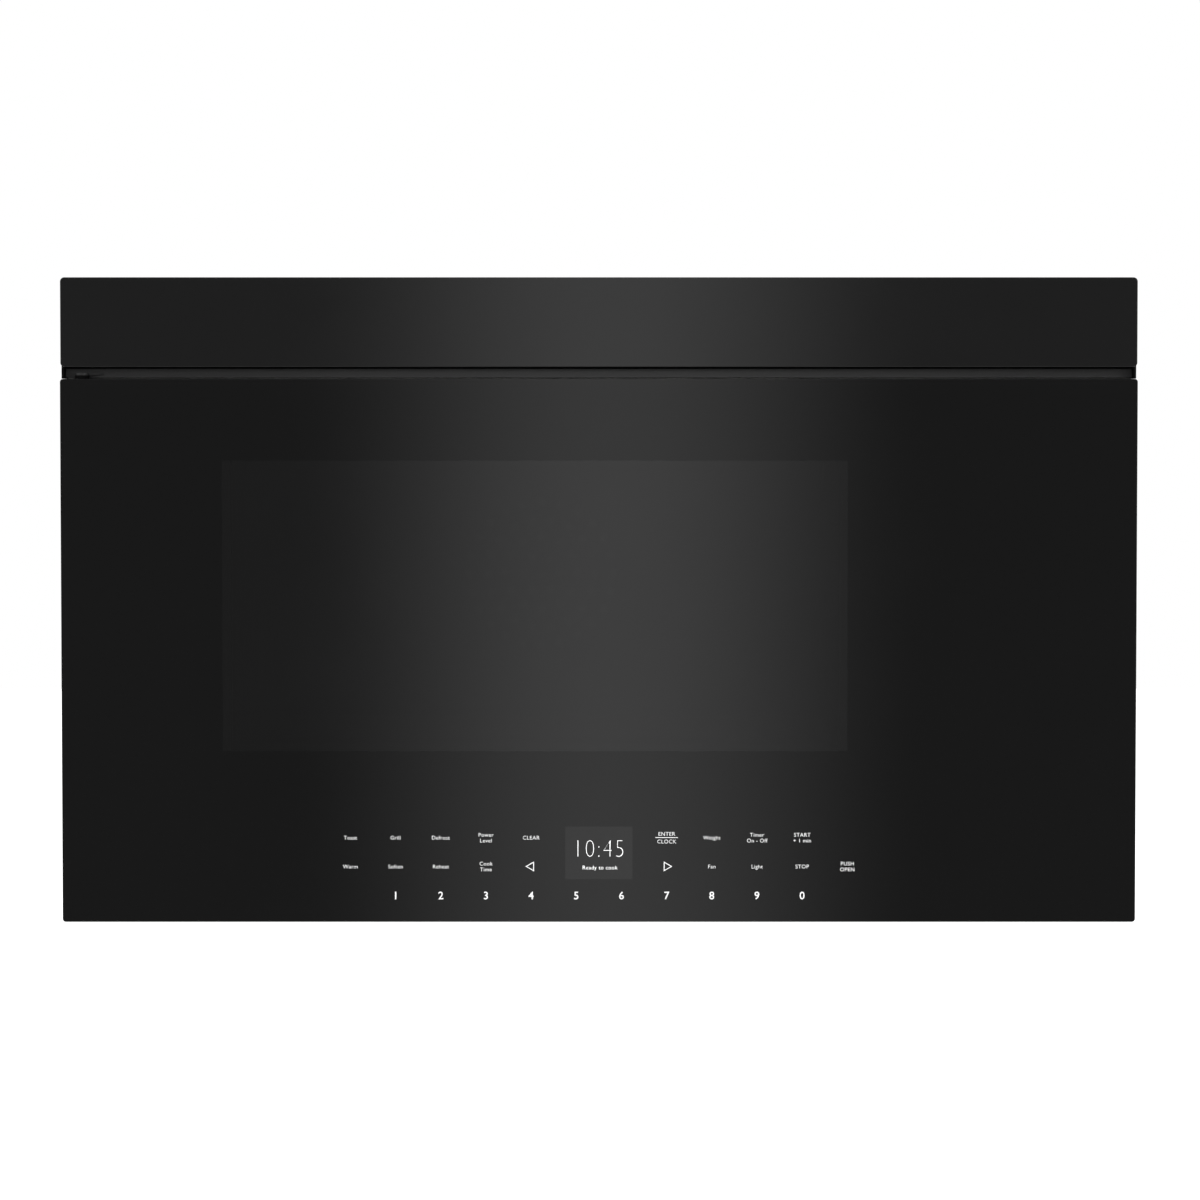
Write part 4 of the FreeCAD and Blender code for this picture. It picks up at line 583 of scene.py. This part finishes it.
# Mill-finish aluminium is pale and half shiny, with faint lines from the rolls
filter_aluminium = surface("mill_finish_aluminium", "B4B6B8", 0.34, grain=1.2, depth=0.015,
                           metal=1.0, streak=(0.1, 1, 1))
WIDE, DEEP = 288.0, 170.0
FRAME_LIP = 13.0
HELD = 8.0
MESH_PITCH = 6.5
MESH_TURN = math.radians(32)
STRAND_WIDE, STRAND_THICK = 1.3, 0.7
LAYERS = (1.6, 2.9, 4.2, 5.5)
TAB_HALF = 15
(left, front, foot), (right, back, head) = reach("grease_filters")
centre_y = (front + back) / 2
strands = int((WIDE / 2 + DEEP) / MESH_PITCH)
for side, name in ((-1, "left_grease_filter"), (1, "right_grease_filter")):
    middle = side * ((right - left) - WIDE) / 2
    low = Vector((middle - WIDE / 2, centre_y - DEEP / 2, foot))
    high = Vector((middle + WIDE / 2, centre_y + DEEP / 2, head))
    tool = bmesh.new()
    size = Matrix.Diagonal((STRAND_WIDE, 2.4 * DEEP, STRAND_THICK, 1))
    for layer, rise in enumerate(LAYERS):
        turn = Matrix.Rotation(MESH_TURN if layer % 2 else -MESH_TURN, 4, "Z")
        for k in range(-strands, strands + 1):
            x = middle + (k + 0.25 * layer) * MESH_PITCH
            shift = Matrix.Translation((x, centre_y, foot + rise))
            bmesh.ops.create_cube(tool, size=1, matrix=shift @ turn @ size)
    for place, normal in (((low.x + HELD, 0, 0), (-1, 0, 0)), ((high.x - HELD, 0, 0), (1, 0, 0)),
                          ((0, low.y + HELD, 0), (0, -1, 0)), ((0, high.y - HELD, 0), (0, 1, 0))):
        slice_at(tool, place, normal, clear=True)
        bmesh.ops.holes_fill(tool, edges=[e for e in tool.edges if e.is_boundary], sides=0)
    # The frame is a block whose middle is inset from above and below, and bored through
    rim = block(tool, low, high)
    caps = [f for f in {f for v in rim for f in v.link_faces} if abs(f.normal.z) > 0.9]
    for cap in caps:
        bmesh.ops.inset_region(tool, faces=[cap], thickness=FRAME_LIP)
    bmesh.ops.bridge_loops(tool, edges=[e for cap in caps for e in cap.edges])
    bmesh.ops.delete(tool, geom=caps, context="FACES_ONLY")
    rings = {e for e in tool.edges if e.is_valid and e.calc_length() > 100
             and e.calc_face_angle(0) > 1.4}
    soften(tool, rings, 0.6, 2)
    tab = block(tool, (middle - TAB_HALF, low.y + 7, foot - 3.2),
                (middle + TAB_HALF, low.y + 8.2, foot + 1))
    soften(tool, {e for v in tab for e in v.link_edges if along(e, Y) and v.co.z < foot}, 2.5, 4)
    piece(name, tool, "cabinet", [filter_aluminium],
          ["grease_filters"] if side < 0 else [])

# Cooktop lamps: round glass lenses with pressed rings, seated over the pan's round openings. The
# glass is frosted inside, so it is milky and its rings catch the light softly.
lens_glass = surface("frosted_pressed_glass", "D9DCDC", 0.35, grain=1.5, depth=0.03, IOR=1.5,
                     Transmission_Weight=0.35)
(left, front, foot), (right, back, head) = reach("cooktop_lamp_lenses")
RADIUS = (back - front) / 2
RINGS = 6
RING_RISE = 0.7
tool = bmesh.new()
for x in (left + RADIUS, right - RADIUS):
    disc = bmesh.ops.create_circle(tool, cap_ends=True, segments=48, radius=RADIUS,
                                   matrix=Matrix.Translation((x, front + RADIUS, head)))["verts"]
    face = disc[0].link_faces[0]
    if face.normal.z > 0:
        face.normal_flip()
    under = bmesh.ops.extrude_face_region(tool, geom=[face], use_keep_orig=True)["geom"]
    bmesh.ops.translate(tool, vec=(0, 0, foot - head),
                        verts=[g for g in under if isinstance(g, bmesh.types.BMVert)])
    face.normal_flip()
    face = next(g for g in under if isinstance(g, bmesh.types.BMFace))
    for k in range(RINGS):
        bmesh.ops.inset_region(tool, faces=[face], thickness=RADIUS / (RINGS + 1.5),
                               depth=RING_RISE if k % 2 else -RING_RISE)
    bmesh.ops.recalc_face_normals(tool, faces=tool.faces)
piece("cooktop_lenses", tool, "cabinet", [lens_glass], ["cooktop_lamp_lenses"],
      crease=60)

# Lamp housings: cups of the same white plastic as the cooling fan, clipped over the lenses inside
# the pan
dress(white_plastic, "cooktop_lamps")

# Door frame: one black ABS moulding, 22 mm deep. The glass is glued to its front and the choke
# panel is screwed to its back.
# Moulded ABS is satin, with a fine even grain from the tool
black_abs = surface("moulded_black_abs", "161616", 0.38, grain=1.2, depth=0.02, IOR=1.54)
(left, front, foot), (right, back, head) = reach("door_frame")
tool = from_cad("door_frame")
rim = [e for e in corners(tool) if all(v.co.y > back - 0.05 for v in e.verts)
       and (all(abs(v.co.x - left) < 0.1 or abs(v.co.x - right) < 0.1 for v in e.verts)
            or all(abs(v.co.z - foot) < 0.1 or abs(v.co.z - head) < 0.1 for v in e.verts))]
BACK_EDGE = 1.2
soften(tool, rim, BACK_EDGE, 3)
# The frame's upward top faces take the second finish, the painted shade
for face in tool.faces:
    if face.normal.z > 0.9 and face.calc_center_median().z > head - 0.1:
        face.material_index = 1
# The upper edge is painted near black and dull: painted shade that makes the dark line along the
# door's top
door_top_painted_shade = surface("door_top_painted_shade_abs", "080808", 0.85, grain=0.6, depth=0.05, IOR=1.25)
piece("door_frame_moulding", tool, "door", [black_abs, door_top_painted_shade], ["door_frame"])
tool = bmesh.new()
INSET = 9
LATCH_SIDE = 60
for x in (left + INSET, -120, 120, right - LATCH_SIDE):
    for z in (foot + INSET, head - INSET):
        screw(tool, (x, back, z), (0, 1, 0), 3.0, 0.8)
for x in (left + INSET, right - LATCH_SIDE):
    screw(tool, (x, back, (foot + head) / 2), (0, 1, 0), 3.0, 0.8)
piece("door_frame_screws", tool, "door", [black_screw])

# Choke cover: a frame of the same black plastic, snapped over the choke's slots, so that crumbs
# stay out
dress(black_abs, "choke_cover")

# Choke panel: enamelled steel, screwed in the door frame. Over the window it is etched with a
# staggered screen of round holes that lets the eye through and holds the microwaves back.
# The enamel is black and glossy. Real holes are 1.9 mm apart, and are drawn 2.4 mm apart so that
# they show.
HOLE_PITCH = 2.4
HOLE_RADIUS = 0.3024 * HOLE_PITCH
SCREEN_MARGIN = 4
CLOUD = 5.0
(low_x, front, low_z), (high_x, back, high_z) = reach("inner_window")
screen = bpy.data.materials.new("etched_choke_screen")
tree = shader_tree(screen)
spot = add(tree, "ShaderNodeTexCoord").outputs["Object"]
nearest = []
for start in ((0, 0, 0), (0.5, 0, 0.5)):
    cell = add(tree, "ShaderNodeMapping", Vector=spot, Location=start,
               Scale=[1 / (HOLE_PITCH * MM), 0, 1 / (HOLE_PITCH * MM)])
    part = add(tree, "ShaderNodeVectorMath", {"operation": "FRACTION"}, i0=cell.outputs[0])
    part = add(tree, "ShaderNodeVectorMath", {"operation": "SUBTRACT"}, i0=part.outputs[0],
               i1=(0.5, 0, 0.5))
    nearest.append(add(tree, "ShaderNodeVectorMath", {"operation": "LENGTH"},
                       i0=part.outputs[0]).outputs["Value"])
near = add(tree, "ShaderNodeMath", {"operation": "MINIMUM"}, i0=nearest[0], i1=nearest[1])
solid = add(tree, "ShaderNodeMath", {"operation": "GREATER_THAN"}, i0=near.outputs[0],
            i1=HOLE_RADIUS / HOLE_PITCH)
place = add(tree, "ShaderNodeSeparateXYZ", Vector=spot).outputs
for axis, low, high in (("X", low_x, high_x), ("Z", low_z, high_z)):
    off = add(tree, "ShaderNodeMath", {"operation": "SUBTRACT"}, i0=place[axis],
              i1=(low + high) / 2 * MM)
    off = add(tree, "ShaderNodeMath", {"operation": "ABSOLUTE"}, i0=off.outputs[0])
    outside = add(tree, "ShaderNodeMath", {"operation": "GREATER_THAN"}, i0=off.outputs[0],
                  i1=((high - low) / 2 - SCREEN_MARGIN) * MM)
    solid = add(tree, "ShaderNodeMath", {"operation": "MAXIMUM"}, i0=solid.outputs[0],
                i1=outside.outputs[0])
tint = add(tree, "ShaderNodeTexNoise", Vector=spot, Scale=1 / (CLOUD * MM))
tone = add(tree, "ShaderNodeMix", {"data_type": "RGBA"}, i0=tint.outputs[0], i6=rgb("0C0C0C"),
           i7=rgb("161616"))
shader = add(tree, "ShaderNodeBsdfPrincipled", Base_Color=tone.outputs[2], Roughness=0.3,
             IOR=1.5, Alpha=solid.outputs[0])
add(tree, "ShaderNodeOutputMaterial", Surface=shader.outputs[0])
dress(screen, "choke_panel")

# Inner window: a 3 mm pane of float glass held by the choke panel, level with its cover. Clear
# glass shows by its reflection and a faint green cast.
bare_glass = surface("clear_float_glass", "0C1210", 0.05, grain=60, spread=0.02, IOR=1.5,
                     Alpha=0.12)
dress(bare_glass, "inner_window")

# Latch bar: an upright bar of the same white acetal that slides in the door frame, with two
# claws that drop behind the face plate's slots
dress(acetal, "latch_bar")

# Display module: a black moulded case with the lamps of the clock in it, glued behind the clear
# patch of the glass
dress(black_abs, "display_module")

# Door glass: one sheet of 4 mm toughened glass, edge to edge, with ground edges. Black enamel is
# fired on its back, except over the window and the display, and it is glued on the door frame.
# Enamel-backed float glass is deep black with a sharp reflection; wiping leaves a faint bloom
backed_glass = surface("black_enamelled_glass", "060606", 0.05, grain=70, spread=0.02, IOR=1.5)
# Over the window the enamel is a fine dot screen, so a little more of each pane glints
screened_glass = surface("dot_screened_glass", "070707", 0.06, grain=70, spread=0.02, IOR=1.64,
                         Alpha=0.86)
# Smoked glass over the display is a shade lighter than the enamel
display_glass = surface("smoked_display_glass", "131313", 0.08, grain=60, spread=0.02, IOR=1.56)
# The ground edges are dull, and take their black from the enamel behind
ground_edge = surface("ground_glass_edge", "080808", 0.7, grain=0.5, spread=0.1, IOR=1.25)

(left, front, foot), (right, back, head) = reach("door_glass")
# The printed signs stand out of the glass by this much, and the glass starts behind them
PRINT = 0.1
CORNER = 2.2
EDGE = 0.25
glass_face = front + PRINT
WINDOW = (-266.3, 118.3, 175.8, 323.8)
DISPLAY = (-23.8, 27.4, 23.8, 64.8)
tool = bmesh.new()
block(tool, (left, glass_face, foot), (right, back, head))
soften(tool, [e for e in tool.edges if along(e, Y)], CORNER, 6)
soften(tool, [e for e in tool.edges if not along(e, Y) and e.calc_face_angle(0) > 1], EDGE, 2)
for low_x, low_z, high_x, high_z in (WINDOW, DISPLAY):
    for place, normal in (((low_x, 0, 0), (1, 0, 0)), ((high_x, 0, 0), (1, 0, 0)),
                          ((0, 0, low_z), (0, 0, 1)), ((0, 0, high_z), (0, 0, 1))):
        slice_at(tool, place, normal)
finishes = [backed_glass, screened_glass, display_glass, bare_glass, ground_edge]
for face in tool.faces:
    spot = face.calc_center_median()
    if abs(face.normal.y) < 0.4:
        face.material_index = finishes.index(ground_edge)
    for over, (low_x, low_z, high_x, high_z) in ((screened_glass, WINDOW),
                                                 (display_glass, DISPLAY)):
        if abs(face.normal.y) > 0.9 and low_x < spot.x < high_x and low_z < spot.z < high_z:
            face.material_index = finishes.index(over if face.normal.y < 0 else bare_glass)
piece("door_glass_sheet", tool, "door", finishes, ["door_glass"])

# Key signs: white ceramic ink, screen-printed on the glass and fired. Small plain words and bold
# digits stand in three rows, 32 mm apart, with an outlined arrow either side of the display.
KEY_PITCH = 32.0
WORD_HEIGHT = 2.85
DIGIT_HEIGHT = 5.6
ROWS = {"top": 57.0, "middle": 36.5, "digits": 16.0}
# Fired ink is matte and nearly pure white. It is also given a faint glow of its own, painted
# light, though the ink gives off none
white_ink_painted_glow = surface("white_ceramic_ink_painted_glow", "E8E8E8", 0.55, grain=0.4, spread=0.08, shade=0.04,
                    Emission_Color=rgb("FFFFFF"), Emission_Strength=0.12)


def words(tool, text, x, z, height, weight, spacing=1.0, width=1.0):
    """Flat raised lettering of a cap height, centred on a point of the glass."""
    CAP_SHARE = 0.73
    curve = bpy.data.curves.new("word", "FONT")
    curve.body = text
    curve.align_x = "CENTER"
    curve.resolution_u = 3
    curve.offset = weight
    curve.space_character = spacing
    curve.extrude = 0.5
    holder = bpy.data.objects.new("word", curve)
    flat = bpy.data.meshes.new_from_object(holder)
    bpy.data.objects.remove(holder)
    bpy.data.curves.remove(curve)
    start = len(tool.verts)
    tool.from_mesh(flat)
    bpy.data.meshes.remove(flat)
    tool.verts.ensure_lookup_table()
    fresh = tool.verts[start:]
    size = height / CAP_SHARE
    turn = Matrix.Rotation(math.pi / 2, 4, "X")
    place = Matrix.Translation((x, glass_face - PRINT / 2, z - height / 2))
    bmesh.ops.transform(tool, verts=fresh,
                        matrix=place @ turn @ Matrix.Diagonal((size * width, size, PRINT, 1)))


def arrow(tool, x, z, way):
    """An outlined triangle on the glass that points left or right."""
    STROKE = 0.62
    POINT = 4.1
    line = bmesh.ops.create_grid(tool, x_segments=1, y_segments=1, size=0.5,
                                 matrix=Matrix.Rotation(math.pi / 2, 4, "X"))["verts"]
    bmesh.ops.scale(tool, vec=(2 * STROKE, 1, PRINT), verts=line)
    bmesh.ops.translate(tool, vec=(POINT - STROKE, 0, 0), verts=line)
    edges = list({e for v in line for e in v.link_edges})
    bmesh.ops.delete(tool, geom=list(line[0].link_faces), context="FACES_ONLY")
    before = set(tool.verts) - set(line)
    bmesh.ops.spin(tool, geom=line + edges, cent=(0, 0, 0), axis=(0, 0, 1), dvec=(0, 0, 0),
                   angle=2 * math.pi, steps=3, use_merge=True)
    made = [v for v in tool.verts if v not in before]
    bmesh.ops.recalc_face_normals(tool, faces=list({f for v in made for f in v.link_faces}))
    turn = Matrix.Rotation(math.pi / 2, 4, "X") @ Matrix.Rotation((1 - way) * math.pi / 2, 4, "Z")
    bmesh.ops.transform(tool, verts=made, matrix=Matrix.Translation((x, glass_face, z)) @ turn)


LEGENDS = {
    "top": {-5.5: "Toast", -4.5: "Grill", -3.5: "Defrost", -2.5: "Power\nLevel", -1.5: "CLEAR",
            1.5: "ENTER\nCLOCK", 2.5: "Weight", 3.5: "Timer\nOn - Off", 4.5: "START\n+ 1 min"},
    "middle": {-5.5: "Warm", -4.5: "Soften", -3.5: "Reheat", -2.5: "Cook\nTime",
               2.5: "Fan", 3.5: "Light", 4.5: "STOP", 5.5: "PUSH\nOPEN"},
}
LINE_STEP = 4.1
RULED_STEP = 5.4
RULE_HALF, RULE_THICK = 8, 0.5
tool = bmesh.new()
for row, signs in LEGENDS.items():
    for column, text in signs.items():
        lines = text.split("\n")
        step = RULED_STEP if text.startswith("ENTER") else LINE_STEP
        for k, line in enumerate(lines):
            z = ROWS[row] + ((len(lines) - 1) / 2 - k) * step
            words(tool, line, column * KEY_PITCH, z, WORD_HEIGHT, weight=-0.002, spacing=1.06)
for k, digit in enumerate("1234567890"):
    words(tool, digit, (k - 4.5) * KEY_PITCH, ROWS["digits"], DIGIT_HEIGHT, weight=0.012)
for way in (-1, 1):
    arrow(tool, way * 1.5 * KEY_PITCH, ROWS["middle"], way)
rule_x, rule_z = 1.5 * KEY_PITCH, ROWS["top"]
block(tool, (rule_x - RULE_HALF, glass_face - PRINT / 2, rule_z - RULE_THICK / 2),
      (rule_x + RULE_HALF, glass_face + PRINT / 2, rule_z + RULE_THICK / 2))
piece("key_signs", tool, "door", [white_ink_painted_glow])

# Display: thin white figures of the clock and a small line under them, lit by the module behind
# the smoked glass. They are as white as the signs, and a little brighter.
lit_figures = surface("lit_display_figures", "F4F4F4", 0.5, grain=0.4, spread=0.05, shade=0.02,
                      Emission_Color=rgb("FFFFFF"), Emission_Strength=0.55)
tool = bmesh.new()
words(tool, "10:45", 0.0, 49.7, 13.6, weight=-0.034, spacing=1.1, width=0.83)
words(tool, "Ready to cook", 0.7, 35.8, 2.9, weight=-0.006, spacing=1.06)
piece("display_figures", tool, "door", [lit_figures])

# Vent panel: a black ABS moulding clipped across the top of the cabinet, with a plain face. It is
# moulded in a polished tool, so it is as deep and glossy as the glass.
gloss_abs = surface("gloss_black_moulding", "0F0F0F", 0.07, grain=60, spread=0.02, IOR=1.53)
(left, front, foot), (right, back, head) = reach("vent_panel")
tool = from_cad("vent_panel")
upright = [e for e in corners(tool) if along(e, Y) and abs(abs(e.verts[0].co.x) - right) < 0.1]
HEAD_CORNER, FOOT_CORNER, FACE_EDGE = 2.6, 1.3, 0.5
soften(tool, [e for e in upright if e.verts[0].co.z > head - 0.1], HEAD_CORNER, 5)
soften(tool, [e for e in upright if e.is_valid and e.verts[0].co.z < foot + 0.1], FOOT_CORNER, 4)
soften(tool, [e for e in corners(tool, 25) if all(v.co.y < front + 0.05 for v in e.verts)],
       FACE_EDGE, 2)
piece("vent_panel_moulding", tool, "cabinet", [gloss_abs], ["vent_panel"])

# Air strip: a matte charcoal moulding set back in the gap over the door, where the air goes in
# under the panel. The black band under the panel, the strip's upward faces and a black block at
# each end of the gap by the cabinet's edge are painted shade, where the gap lies in shadow.
# The charcoal plastic is lighter than the glass and spreads the softbox's light
strip_abs = surface("matte_charcoal_moulding", "4C4C4C", 0.22, grain=0.8, depth=0.008, IOR=1.5)
# Painted shade: a matte black as dark as a hole, for the places in the gap that lie in shadow
painted_shade_black = surface("painted_shade_black_finish", "050505", 0.8, grain=1, depth=0.01, IOR=1.25)
SHADE_BAND = 1.0
SKIN = 3.0
LEAN = 0.8
LIP = 0.3
SHADE_SETBACK = 0.4
SHADE_THICKNESS = 1.9
door_top = reach("door_glass")[1][Z]
(low_x, strip_front, strip_foot), (high_x, strip_back, strip_head) = reach("air_strip")
tool = bmesh.new()
made = block(tool, (low_x, strip_front, strip_foot), (high_x, strip_front + SKIN, strip_head))
for vert in made:
    if vert.co.z > strip_head - 0.1 and vert.co.y < strip_front + 0.1:
        vert.co.y += LEAN
soften(tool, [e for v in made for e in v.link_edges if along(e, X) and v.co.z < strip_foot + 0.1
              and v.co.x < 0 and v.co.y < strip_front + 0.1], LIP, 2)
# A black band just under the panel, painted shade from the panel's overhang
shade_band = block(tool, (low_x, strip_front - LIP, strip_head - SHADE_BAND),
               (high_x, strip_front + SKIN, foot + 0.5))
for face in {f for v in shade_band for f in v.link_faces}:
    face.material_index = 1
# The strip's upward faces, under the panel's overhang, take the painted shade too
for face in tool.faces:
    if face.normal.z > 0.7:
        face.material_index = 1
piece("air_strip_moulding", tool, "cabinet", [strip_abs, painted_shade_black], ["air_strip"])
# Black blocks at the gap's ends, painted shade where the cabinet's edges lie in shadow
tool = bmesh.new()
for x in (left + SHADE_SETBACK, right - SHADE_SETBACK - SHADE_THICKNESS):
    made = block(tool, (x, front + 3, door_top + 0.3), (x + SHADE_THICKNESS, front + 24, foot + 1))
    soften(tool, {e for v in made for e in v.link_edges if along(e, Z)}, 0.4, 2)
piece("gap_end_painted_shade", tool, "cabinet", [painted_shade_black])

# Hinge brackets: 1.5 mm steel arms screwed to the face plate, each with a riveted pin. The arms
# taper towards the pin. The faces in front of the strip, low down by the door's top, are painted
# black, the collars' lower parts among them: painted shade under the arms.
# The arms' paint is dull, and near the tone of the strip that they cross
arm_paint = surface("charcoal_painted_steel", "262626", 0.5, grain=0.9, depth=0.02, IOR=1.45)
COLLAR_SHADE_TOP = door_top + 2.6
TAPER = 5.0
ARM = 20
tool = from_cad("hinge_brackets")
arm_end = min(v.co.x for v in tool.verts) + ARM
for vert in tool.verts:
    if vert.co.x > arm_end - 0.1 and vert.co.y < strip_front - TAPER + 0.1:
        vert.co.y += TAPER
slice_at(tool, (0, 0, COLLAR_SHADE_TOP), (0, 0, 1))
# Faces in front of the strip, below that level, take the painted shade
for face in tool.faces:
    middle = face.calc_center_median()
    if middle.y < strip_front and door_top < middle.z < COLLAR_SHADE_TOP:
        face.material_index = 1
soften(tool, corners(tool, 60), 0.15, 1)
piece("hinge_arms", tool, "cabinet", [arm_paint, painted_shade_black], ["hinge_brackets"])
